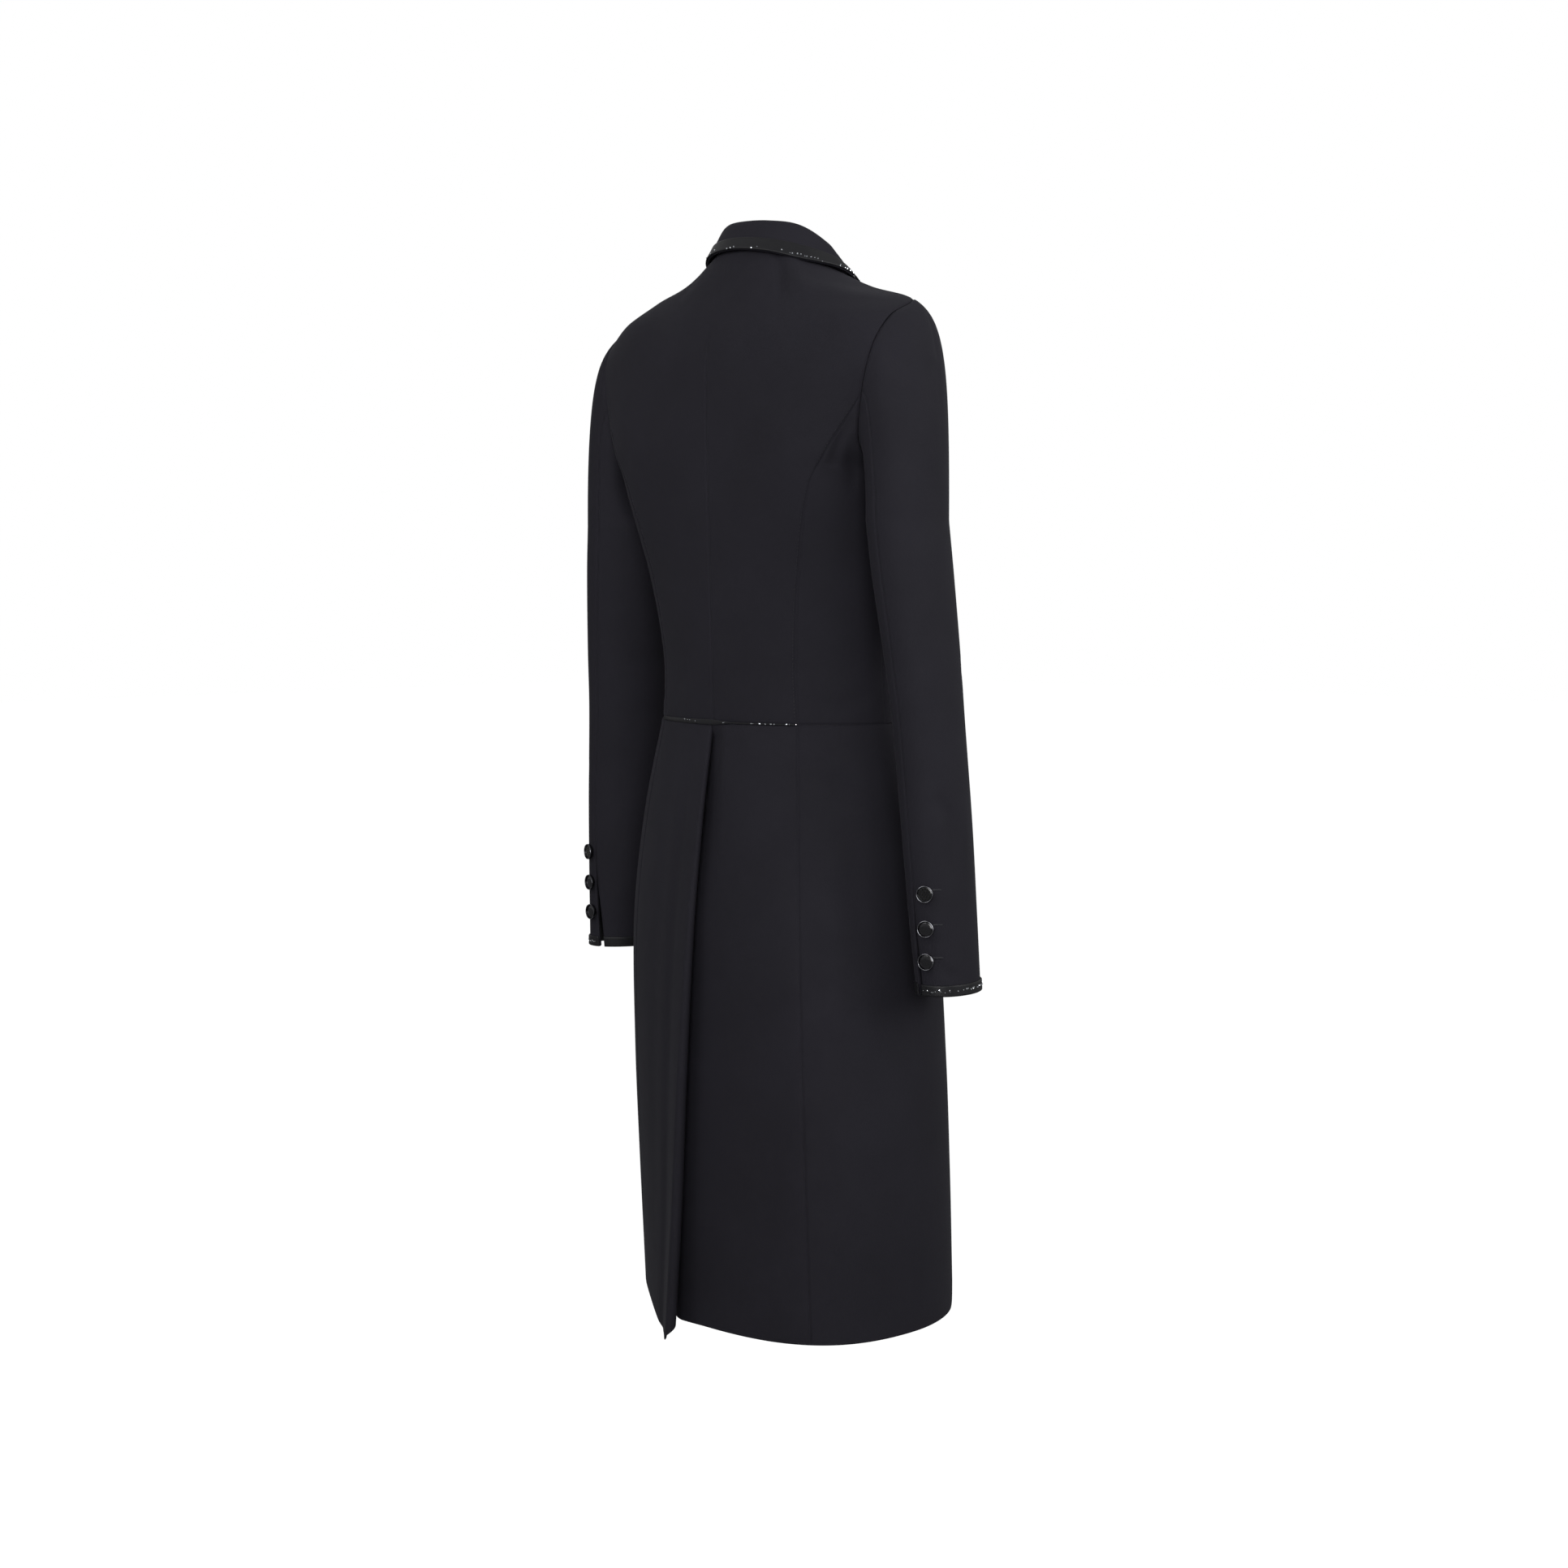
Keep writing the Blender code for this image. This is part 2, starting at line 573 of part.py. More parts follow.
def make_tails(coat, cloth):
    for word, side in SIDES.items():
        seam = lambda level, side=side: tails[side].read(level, "seam")
        back, columns = underlapped_surface, RIGHT_COLUMNS
        flank = tail_surface(side, seam, lambda level: TAIL_FRONT)
        if side == LEFT:
            back, columns = rolled_surface(tail_surface(side, lambda level: 0.0, seam)), LEFT_COLUMNS
        cloth_piece(coat, f"tail_back_{word}", back, columns, TAIL_ROWS, cloth, side)
        cloth_piece(coat, f"tail_side_{word}", flank, 9, TAIL_ROWS, cloth, side)


def hind_seam(side, v):
    """Angle of the sleeve's hind seam at a height of the sleeve."""
    z = mix(CUFF_Z, SLEEVE[0].z, min(v, 1.0))
    return hind_seams.read(hind_seams.level_at(-z), "left" if side == LEFT else "right")


def vent_gap(v):
    """Degrees that the vent stands open at a height of the sleeve."""
    z = mix(CUFF_Z, SLEEVE[0].z, min(v, 1.0))
    return VENT_OPENS * smooth((VENT_TOP_Z - z) / (VENT_TOP_Z - CUFF_Z))


def make_sleeves(coat, cloth, trim):
    for word, side in SIDES.items():
        def top(u, v, side=side):
            return sleeve_point(mix(hind_seam(side, 2 * v) + vent_gap(2 * v) / 2, FORE_SEAM, u), 2 * v)

        def under(u, v, side=side):
            return sleeve_point(mix(FORE_SEAM + FORE_GAP, 360 + hind_seam(side, 2 * v) - vent_gap(2 * v) / 2, u), 2 * v)

        def cuff(u, v, top=top, under=under):
            column = u * (TOP_COLUMNS + UNDER_COLUMNS)
            low = v * CUFF_TRIM_WIDTH / (SLEEVE[0].z - CUFF_Z) / 2
            if column <= TOP_COLUMNS:
                return top(column / TOP_COLUMNS, low)
            return under((column - TOP_COLUMNS) / UNDER_COLUMNS, low)

        cloth_piece(coat, f"sleeve_top_{word}", top, TOP_COLUMNS, SLEEVE_ROWS, cloth, side)
        cloth_piece(coat, f"sleeve_under_{word}", under, UNDER_COLUMNS, SLEEVE_ROWS, cloth, side)
        strip = raised(cuff, OVER + TRIM)
        cloth_piece(coat, f"cuff_trim_{word}", strip, TOP_COLUMNS + UNDER_COLUMNS, 1, trim, side, thickness=TRIM)


def make_collar(coat, cloth, trim):
    span = 2 * COLLAR_MIDDLE

    def stand(u, v):
        row = COLLAR_MIDDLE + mix(-STAND_ENDS, STAND_ENDS, u)
        seam = collar.read(row, "seam_x seam_y seam_z")
        roll = collar.read(row, "roll_x roll_y roll_z")
        return mix(seam, roll - Vector((0, 0, CLOTH + 0.6)), v)

    def fall(u, v):
        row = v * FALL_ROWS
        trimmed = COLLAR_TRIM_SHARE * min(row, 1.0)
        return fall_point(u * span, trimmed + (1 - COLLAR_TRIM_SHARE) * max(row - 1, 0.0) / (FALL_ROWS - 1))

    def edge_strip(u, v):
        return fall(u, v / FALL_ROWS)

    cloth_piece(coat, "collar_stand", stand, 18, 2, cloth, LEFT)
    cloth_piece(coat, "collar_fall", fall, COLLAR_COLUMNS, FALL_ROWS, cloth, LEFT)
    strip = raised(edge_strip, OVER + TRIM)
    cloth_piece(coat, "collar_trim", strip, COLLAR_COLUMNS, 1, trim, LEFT, thickness=TRIM)


def make_piping(coat, trim):
    """Narrow half-round strip over the waist seam, only between the princess seams."""
    reach = BACK[0].princess

    def strip(u, v):
        w = abs(2 * u - 1) * reach
        place = back_point(w, 0)
        ahead = back_point(w + 0.01, 0) - place
        away = Vector((-ahead.y, ahead.x, 0)).normalized()
        a = mix(-math.pi / 2, math.pi / 2, v)
        place += away * (PIPING_GAP + TRIM + (PIPING_STANDS_OUT - TRIM) * math.cos(a))
        place.z += math.sin(a) * PIPING_WIDTH / 2
        place.x *= 1 if u > 0.5 else -1
        return place

    cloth_piece(coat, "waist_piping", strip, 14, 3, trim, LEFT, thickness=TRIM)


def button(coat, name, gloss, place, away):
    """Turned button: a raised rim round a low dome, its back towards the cloth."""
    r, d = BUTTON_RADIUS, BUTTON_DEPTH
    profile = [(0, d * 0.86), (r * 0.45, d * 0.80), (r * 0.74, d * 0.62), (r * 0.80, d * 0.98), (r * 0.93, d),
               (r, d * 0.72), (r * 0.94, d * 0.34), (r * 0.5, 0), (0, 0)]
    mesh = bpy.data.meshes.new(name)
    bm = bmesh.new()
    verts = [bm.verts.new((x * MM, 0, z * MM)) for x, z in profile]
    for a, b in zip(verts, verts[1:]):
        bm.edges.new((a, b))
    bm.to_mesh(mesh)
    bm.free()
    mesh.materials.append(gloss)
    made = bpy.data.objects.new(name, mesh)
    coat.objects.link(made)
    made.location = place
    made.rotation_euler = away.to_track_quat("Z", "Y").to_euler()
    turn = made.modifiers.new("turned", "SCREW")
    turn.steps = turn.render_steps = 14
    turn.use_merge_vertices = True
    turn.merge_threshold = 0.00005
    turn.use_smooth_shade = True
    return made


def make_buttons(coat, gloss):
    for word, side in SIDES.items():
        for number, (z, angle, gap) in enumerate(CUFF_BUTTONS[word], 1):
            along = ring_point(angle + 2, z) - ring_point(angle - 2, z)
            away = Vector((0, 0, 1)).cross(along).normalized()
            place = ring_point(angle, z) + away * gap
            button(coat, f"cuff_button_{word}_{number}", gloss, placed(place, side), away * Vector((side, 1, 1)))
    for number, z in enumerate(FRONT_BUTTONS_Z, 1):
        y = fronts.read(fronts.level_at(BODY_RUN[0] + (z - WAIST_Z)), "inner_y") - LAP_LIFT
        place = Vector((0, y - FRONT_BUTTON_GAP, z))
        button(coat, f"front_button_{number}", gloss, placed(place, RIGHT), Vector((0, -1, 0)))


def main():
    coat = start_empty()
    cloth = material("black stretch cloth", BLACK_CLOTH, 0.75)
    trim = material("black trim", BLACK_TRIM, 0.4)
    gloss = material("gunmetal and black enamel", BLACK_GLOSS, 0.25, 0.6)
    make_bodice(coat, cloth)
    make_fronts(coat, cloth)
    make_tails(coat, cloth)
    make_sleeves(coat, cloth, trim)
    make_collar(coat, cloth, trim)
    make_piping(coat, trim)
    make_buttons(coat, gloss)


main()
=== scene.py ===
# %% [markdown]
# A dressage tailcoat in near-black stretch cloth, filled out as if it were worn. We start from the packed
# model, which gives every piece its place and size, and then dress it: each stiff solid is replaced by a
# thin shell of cloth on the same form, with finer edges, seams, creases and trimmings.

# %% Load the frame
import math
import random
from collections import defaultdict, namedtuple

import bmesh
import bpy
from mathutils import Matrix, Vector


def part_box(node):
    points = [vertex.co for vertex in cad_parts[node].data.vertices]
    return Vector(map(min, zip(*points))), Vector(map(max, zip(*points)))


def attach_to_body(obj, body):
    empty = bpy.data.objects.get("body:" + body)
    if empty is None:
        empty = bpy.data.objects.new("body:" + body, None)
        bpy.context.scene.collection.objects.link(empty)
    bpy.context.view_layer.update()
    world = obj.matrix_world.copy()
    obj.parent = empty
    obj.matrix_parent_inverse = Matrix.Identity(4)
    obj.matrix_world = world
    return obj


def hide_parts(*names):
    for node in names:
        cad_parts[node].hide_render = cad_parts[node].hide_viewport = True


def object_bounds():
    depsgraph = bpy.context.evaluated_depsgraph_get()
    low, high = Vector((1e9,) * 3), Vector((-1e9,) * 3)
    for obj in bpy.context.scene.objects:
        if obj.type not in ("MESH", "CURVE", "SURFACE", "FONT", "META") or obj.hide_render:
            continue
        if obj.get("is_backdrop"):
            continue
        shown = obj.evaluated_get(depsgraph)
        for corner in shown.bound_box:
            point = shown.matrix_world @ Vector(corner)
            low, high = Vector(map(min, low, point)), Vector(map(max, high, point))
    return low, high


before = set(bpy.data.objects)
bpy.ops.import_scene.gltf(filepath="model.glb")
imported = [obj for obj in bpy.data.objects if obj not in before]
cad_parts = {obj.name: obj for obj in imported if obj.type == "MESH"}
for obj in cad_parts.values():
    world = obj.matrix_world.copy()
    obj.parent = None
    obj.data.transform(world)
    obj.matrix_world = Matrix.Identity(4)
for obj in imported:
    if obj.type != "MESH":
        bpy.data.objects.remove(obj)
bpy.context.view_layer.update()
print("frame loaded with", len(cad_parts), "nodes")

# %% [markdown]
# The camera stands behind the coat, on the wearer's right and a little above the middle of its length, and
# looks slightly down. A lens of about 60 mm keeps the coat from looking stretched. We make it first,
# because every later choice is judged through it.

# %% Camera
CAMERA_AZIMUTH = 225.0      # degrees: 180 is straight behind
CAMERA_ELEVATION = 4.57
CAMERA_DISTANCE = 2.4       # metres from the point that it looks at
LOOKS_AT = Vector((0, 0, -0.495))
SENSOR = 36.0
PHOTO_WIDTH, PHOTO_FOCUS = 1932, 3200   # the photograph's width and focal length, both in its pixels


def stand_off(thing, azimuth, elevation, distance, aim):
    """Stands a camera or a light off from a point and turns it to face that point."""
    a, e = math.radians(azimuth), math.radians(elevation)
    back = Vector((math.sin(a) * math.cos(e), -math.cos(a) * math.cos(e), math.sin(e)))
    thing.location = aim + back * distance
    thing.rotation_euler = back.to_track_quat("Z", "Y").to_euler()
    bpy.context.scene.collection.objects.link(thing)


camera = bpy.data.objects.new("camera", bpy.data.cameras.new("camera"))
camera.data.sensor_width = SENSOR
camera.data.lens = SENSOR * PHOTO_FOCUS / PHOTO_WIDTH
stand_off(camera, CAMERA_AZIMUTH, CAMERA_ELEVATION, CAMERA_DISTANCE, LOOKS_AT)
bpy.context.scene.camera = camera

# %% [markdown]
# A tailor's pattern comes first. The same driving sizes that made the stiff solids are set out again here,
# in millimetres, so that the cloth lies exactly where they do. Two sides share one table: x is the distance
# out from the middle, and the wearer's right side is the mirror of the left.

# %% Sizes of cloth, trims and buttons, in millimetres
MM = 0.001
CLOTH = 2.0             # wall of one panel
TRIM = 1.2              # wall of the trim strips
OVER = 0.35             # gap under a piece that lies on another
CUFF_Z = -663.0
LEFT_SHOULDER_RISE = 10.0   # how much higher the left shoulder is carried
RISES_OUT, RISES_UP = (50, 130), (-220, -90)    # x and z between which that rise builds up
COLLAR_TRIM_SHARE = 0.27    # share of the collar's fall, from its outer edge, that the trim covers
CUFF_TRIM_WIDTH = 10.0
PIPING_WIDTH = 4.6
PIPING_STANDS_OUT = 1.6
PIPING_GAP = 0.8        # between the piping and the cloth
BUTTON_RADIUS = 7.5
BUTTON_DEPTH = 4.2
CuffButton = namedtuple("CuffButton", "z angle gap")    # gap: how far it stands off the sleeve's form
CUFF_BUTTONS = {
    "right": [CuffButton(-574, 9, 0.8), CuffButton(-604, 6, 0.8), CuffButton(-632.5, 1.5, 0.6)],
    "left": [CuffButton(-570, 0, 0.0), CuffButton(-600, -3, -0.1), CuffButton(-629, -6, -0.2)],
}
FRONT_LAP = 18.0        # how far each front goes past the middle
LAP_LIFT = CLOTH + 2.6  # how far the right front stands off to lie on the left one
RIGHT, LEFT = -1, 1
SIDES = {"right": RIGHT, "left": LEFT}

# %% Bodice tables
# Side edges shared by the panels that meet there: side seam, armhole, then shoulder seam
Edge = namedtuple("Edge", "level back_x back_y back_z front_x front_y front_z")
EDGES = [
    Edge("waist", 130, 2, -434, 130, 2, -434),
    Edge("lower ribs", 126, 2, -380, 126, 2, -380),
    Edge("ribs", 136, 4, -305, 136, 4, -305),
    Edge("underarm", 148, 8, -222, 148, 8, -222),
    Edge("low armhole", 155, 62, -194, 147, -26, -205),
    Edge("mid armhole", 163.5, 71.5, -150, 149, -37, -165),
    Edge("high armhole", 170, 65, -108, 151, -37, -125),
    Edge("top armhole", 166, 38, -80, 153, -27, -84),
    Edge("shoulder tip", 153, -4, -62, 153, -4, -62),
    Edge("mid shoulder", 105, -6, -48, 105, -6, -48),
    Edge("neck", 60, -3, -29.5, 60, -3, -29.5),
]
UNDERARM, MID_ARMHOLE, SHOULDER_TIP, NECK = 3, 5, 8, 10

# Back at the same levels, from the centre seam to that edge; princess is the share inside the princess seam
Back = namedtuple("Back", "centre_y centre_z reach pull_x pull_y pull_z princess")
BACK = [
    Back(90.5, -434, 73, 0, 49, 0, 0.455),
    Back(92, -380, 72, 0, 51, 0, 0.46),
    Back(94.5, -305, 90, 0, 60, 0, 0.445),
    Back(97, -228, 120, 0, 86, 0, 0.482),
    Back(98, -190, 100, -14, 34, -5, 0.71),
    Back(98.5, -150, 80, -32, 20, 0, 1.0),
    Back(97.5, -112, 80, -35, 18, 6, 1.0),
    Back(92, -80, 85, -15, 35, -2, 1.0),
    Back(83, -55, 85, -6, 48, -6, 1.0),
    Back(72, -30, 60, -4, 42, -3, 1.0),
    Back(60, -9, 34, 0, 35, 9, 1.0),
]

# Front at the same levels, from the middle or the lapel's fold line to that edge
Front = namedtuple("Front", "inner_x inner_y inner_z reach_x reach_y reach_z pull_x pull_y pull_z")
FRONT = [
    Front(0, -84, -434, 73, 0, 0, 0, -48, 0),
    Front(0, -88, -380, 73, 0, 0, 0, -50, 0),
    Front(0, -104, -305, 88, -2, 0, 0, -66, 0),
    Front(0, -111, -235, 92, -4, 0, 0, -66, 0),
    Front(16, -110, -205, 60, -6, 0, -22, -38, 0),
    Front(30, -103, -165, 45, -3, 0, -38, -22, 0),
    Front(42, -88, -122, 35, -6, 2, -40, -20, 2),
    Front(51, -66, -90, 30, -10, 1, -25, -26, 0),
    Front(56, -46, -68, 28, -6, 0, -14, -32, -14),
    Front(59, -32, -56, 14, -3, 1, -6, -20, -9),
    Front(61, -20, -42, 0, 5, 3, 0, -5, -5),
]
TOP_BUTTON = 3          # level where the fold line leaves the front's edge
FRONT_MIDDLE = 0.9      # share of a front's width at its middle or fold line

# Front hem below the waist, by the share of the way from the side seam to the middle
Hem = namedtuple("Hem", "share drop")
FRONT_HEM = [Hem(0.0, 0), Hem(0.44, 0), Hem(0.62, 14), Hem(0.80, 38), Hem(0.92, 32), Hem(1.0, 20)]

# %% Tail tables
# The inner edge at the middle of the back, the side of the hip and the front of the ring
Tail = namedtuple("Tail", "z inner_x inner_y reach_x reach_y side_x side_y pull front_y seam")
RIGHT_TAIL = [
    Tail(-434, 0, 90.5, 73, 0, 130, 2, 49, -84, 0.455),
    Tail(-520, 0, 104, 86, 0, 149, 6, 60, -97, 0.455),
    Tail(-620, 0, 121, 108, 0, 167, 10, 74, -112, 0.456),
    Tail(-740, 0, 131, 122, 0, 175, 14, 83, -123, 0.473),
    Tail(-860, 0, 138, 129, 0, 179, 17, 88, -130, 0.499),
    Tail(-970, 0, 143, 134, 0, 181, 20, 91, -135, 0.525),
]
LEFT_TAIL = [
    Tail(-434, 4.6, 90.4, 70, 0, 130, 2, 49, -84, 0.45),
    Tail(-520, -1.5, 110.8, 84, -11, 149, 4, 60, -97, 0.46),
    Tail(-620, -5, 127, 93, -22, 165, 2, 66, -110, 0.47),
    Tail(-740, -7, 138.5, 90, -32, 168, 0, 65, -118, 0.48),
    Tail(-860, -8.6, 147, 85, -42, 167, -2, 60, -124, 0.49),
    Tail(-970, -9.5, 156, 80, -48, 166, -6, 52, -128, 0.50),
]
HEM_LEVEL = len(RIGHT_TAIL) - 1
TAIL_FRONT = 1.42       # where a tail's front edge runs: 1 is the side of the hip, 2 the middle of the front
TAIL_CORNER = 24.0      # radius of the tail's front corner
ROLL_RADIUS = 2.6
RETURN_DEPTH = 20.0
ROLL_STARTS, ROLL_ENDS, LEFT_COLUMNS = 2, 5, 11     # columns of its back where the roll starts and ends
UNDERLAP = 30.0         # how far the right tail goes on past the middle
UNDERLAP_BEND = 20.0    # how far its hidden edge bends in towards the body
RIGHT_COLUMNS = 9
DIP_SHARE = 0.09        # strip of the right tail beside the fold that dips in under it
DIP_HIGH, DIP_LOW = 6.2, -1.5   # how deep it dips just below the waist, and lower down
LEFT_TIP_DROP = 17.0    # how far the left tail's point hangs below its hem
TIP_REACH = 0.45        # share of the way to the hip over which the hem drops towards that point

# %% Sleeve tables
# Rings round the arm, each an ellipse whose long axis points back and SLEEVE_TURN degrees out
Ring = namedtuple("Ring", "z x y long short")
SLEEVE = [
    Ring(-256, 175.5, 25, 48.4, 32.4),
    Ring(-300, 180, 23, 48, 32),
    Ring(-370, 188, 19.5, 45, 30),
    Ring(-430, 193.5, 16.5, 42.5, 28.5),
    Ring(-520, 200.5, 13, 41.5, 28),
    Ring(-600, 206, 10.5, 39.5, 27),
    Ring(-663, 211, 8.5, 37, 25.4),
]
SLEEVE_TURN = 16.0
FORE_SEAM = 206.0       # angle of the seam in front of the arm: 0 is the back of the ring and 90 the outside
FORE_GAP = 2.0          # degrees left between the two pieces at that seam
Hind = namedtuple("Hind", "z right left")
HIND_SEAM = [Hind(-256, -14, -21), Hind(-430, -17, -17), Hind(-560, -19, -14), Hind(-663, -23, -30)]
VENT_TOP_Z = -560.0
VENT_OPENS = 10.0       # degrees of the ring that the vent opens at the cuff
CAP_LEAVES = 1.0        # gap from the armhole to the sleeve
OFF_BODY = 2.0          # room between the sleeve's inside and the coat's side
PRESS = 4.0             # softness of the sleeve's flat inside

# %% Collar and lapel tables
# Left half of the collar: where it is sewn, where it rolls over and its outer edge
Collar = namedtuple("Collar", "place seam_x seam_y seam_z roll_x roll_y roll_z edge_x edge_y edge_z")
COLLAR = [
    Collar("middle", 0, 58.5, -8.6, 0, 52, 12.6, 0, 69, -14),
    Collar("nape", 29.5, 50.8, -12.4, 25.5, 44.5, 12, 35, 60.6, -17),
    Collar("behind the shoulder", 50, 29.5, -20.8, 45.5, 26.5, 8, 62, 36, -25),
    Collar("shoulder", 58, 5.5, -28, 57.5, 5, -6, 73.5, 7, -29.5),
    Collar("past the shoulder", 58.6, -10, -32.8, 59, -10, -19.5, 75, -12, -35.5),
    Collar("front of the neck", 59.6, -20, -40, 61.5, -21, -35, 75.5, -28, -48),
    Collar("gorge", 56, -39, -56, 58, -41, -52.5, 77, -47, -62),
    Collar("collar point", 52, -55, -73, 54.5, -57, -70, 76, -63, -78),
]
LAPEL_BOTTOM = {"right": 3.35, "left": 3.95}
LAPEL_TOP = 7.15
LAPEL_WIDTH = 0.62      # share of the front's row that the lapel covers at its widest
LAPEL_LIFT = 1.2        # gap under a lapel
LAPEL_CLOTH = 1.6       # a lapel is pressed thin

# %% [markdown]
# Between two rows of a table the form has to flow without corners, as cloth does. A cubic curve through the
# rows, with slopes taken from their neighbours, gives that. Across a panel, one Bezier curve per height is
# enough, since cloth over a body bends one way and never ripples by itself.

# %% Curves and tables
def mix(a, b, t):
    return a + (b - a) * t


def smooth(value, start=0.0, end=1.0):
    """Eases from 0 at the start of a stretch to 1 at its end."""
    t = min(max((value - start) / (end - start), 0.0), 1.0)
    return t * t * (3 - 2 * t)


def bezier(p0, p1, p2, p3, t):
    s = 1 - t
    return p0 * s**3 + p1 * (3 * s * s * t) + p2 * (3 * s * t * t) + p3 * t**3


class Table:
    """Reads a table smoothly between its rows: level 2.5 is halfway from row 2 to row 3."""

    def __init__(self, rows, run):
        self.rows = rows
        self.run = run
        self.columns = {}

    def column(self, names):
        if names not in self.columns:
            picked = [[getattr(row, name) for name in names.split()] for row in self.rows]
            self.columns[names] = [Vector(p) if len(p) == 3 else p[0] for p in picked]
        return self.columns[names]

    def read(self, level, names):
        """One column as a number, or three as a vector."""
        values, run = self.column(names), self.run
        last = len(values) - 1
        i = min(max(int(math.floor(level)), 0), last - 1)
        slopes = []
        for k in (i, i + 1):
            a, b = max(k - 1, 0), min(k + 1, last)
            slopes.append((values[b] - values[a]) / (run[b] - run[a]))
        step = run[i + 1] - run[i]
        t = level - i
        ease = t * t * (3 - 2 * t)
        start = slopes[0] * (step * t * (1 - t) ** 2)
        end = slopes[1] * (step * t * t * (t - 1))
        return mix(values[i], values[i + 1], ease) + start + end

    def level_at(self, place):
        """Level where the running length is a given one."""
        last = len(self.run) - 1
        for i in range(last):
            if place <= self.run[i + 1] or i == last - 1:
                return i + (place - self.run[i]) / (self.run[i + 1] - self.run[i])


def running_length(points):
    """Distance from the first point to each of them, along the way."""
    run = [0.0]
    for a, b in zip(points, points[1:]):
        run.append(run[-1] + (b - a).length)
    return run


def by_height(rows):
    """A table whose rows have a z, read by depth below the origin."""
    return Table(rows, [-float(row.z) for row in rows])


def mirrored(rows):
    """The collar's half table as a whole one, from the right end to the left end."""
    flip = {"seam_x", "roll_x", "edge_x"}
    right = [row._replace(**{name: -getattr(row, name) for name in flip}) for row in rows[:0:-1]]
    return right + rows


EDGE_RUN = running_length([Vector((e.back_x, e.back_y, e.back_z)) for e in EDGES])
CENTRE_RUN = running_length([Vector((0, b.centre_y, b.centre_z)) for b in BACK])
BODY_RUN = [mix(a, b, 0.5) for a, b in zip(EDGE_RUN, CENTRE_RUN)]
edges = Table(EDGES, BODY_RUN)
backs = Table(BACK, BODY_RUN)
fronts = Table(FRONT, BODY_RUN)
front_hem = Table(FRONT_HEM, [row.share for row in FRONT_HEM])
tails = {RIGHT: by_height(RIGHT_TAIL), LEFT: by_height(LEFT_TAIL)}
sleeves = by_height(SLEEVE)
hind_seams = by_height(HIND_SEAM)
body_side = Table(EDGES[:UNDERARM + 1], [edge.back_z for edge in EDGES[:UNDERARM + 1]])
whole_collar = mirrored(COLLAR)
collar = Table(whole_collar, running_length([Vector((c.edge_x, c.edge_y, c.edge_z)) for c in whole_collar]))
COLLAR_MIDDLE = len(COLLAR) - 1
print("pattern has", len(EDGES) + len(BACK) + len(FRONT) + len(SLEEVE) + len(COLLAR), "rows")

# %% [markdown]
# Each piece of cloth is a surface of two shares: u runs round the coat from the back to the front, and v
# upwards. A surface is only a function, so the same one serves for the stiff solid, for this finer cloth,
# and for the stitches and stones that lie on it.

# %% Surfaces of the bodice
def back_point(w, level):
    """Back: w runs from the centre seam (0) to the side seam, armhole or shoulder seam (1)."""
    edge = edges.read(level, "back_x back_y back_z")
    centre = Vector((0, backs.read(level, "centre_y"), backs.read(level, "centre_z")))
    reach = Vector((backs.read(level, "reach"), 0, 0))
    return bezier(centre, centre + reach, edge + backs.read(level, "pull_x pull_y pull_z"), edge, w)


def front_point(w, level):
    """Front: w runs from the edge (0) to the fold line or the middle (1)."""
    shared = level <= UNDERARM or level >= SHOULDER_TIP
    edge = edges.read(level, "back_x back_y back_z" if shared else "front_x front_y front_z")
    inner = fronts.read(level, "inner_x inner_y inner_z")
    reach = fronts.read(level, "reach_x reach_y reach_z")
    return bezier(edge, edge + fronts.read(level, "pull_x pull_y pull_z"), inner + reach, inner, w)


def princess(level):
    """Share of the back's curve that lies inside the princess seam, which ends at the armhole."""
    return min(backs.read(level, "princess"), 1.0) if level < MID_ARMHOLE else 1.0


def back_surface(u, v):
    return back_point(u * princess(v * NECK), v * NECK)


def side_back_surface(u, v):
    level = v * MID_ARMHOLE - 0.02 * smooth(v, 0.9, 1.0)
    return back_point(mix(princess(level), 1, u), level)


def front_surface(side):
    """Front panel: v runs from the hem up to the neck, and u from the side edge past the middle."""
    def point(u, v):
        level = v * NECK
        lap = FRONT_LAP * smooth(level, TOP_BUTTON + 0.5, TOP_BUTTON)
        w = min(u / FRONT_MIDDLE, 1.0)
        place = front_point(w, level)
        place.x -= lap * max(u - FRONT_MIDDLE, 0.0) / (1 - FRONT_MIDDLE)
        place.z -= front_hem.read(front_hem.level_at(w), "drop") * max(1 - level, 0) ** 2
        if side == RIGHT:
            place.y -= LAP_LIFT * smooth(place.x, FRONT_LAP + 16, FRONT_LAP + 2)
        return place
    return point

# %% Surfaces of the tails
WIDE_DIP, WIDE_DIP_SHARE = 13.0, 0.44   # how the right tail turns in softly towards the fold over it
QUARTER_ROUND = 0.56    # share of the radius at which a Bezier curve's middle points make a quarter ellipse
SOFT_ROLL = 5.0         # radius of the fold's roll at the hem
TIP_SLOPE = 10.0        # how far the roll's hem climbs round to its hidden side
ROLL_RISE, ROLL_RISE_SHARE = 3.0, 0.17  # how the left tail's back rises towards its roll, most at the hem


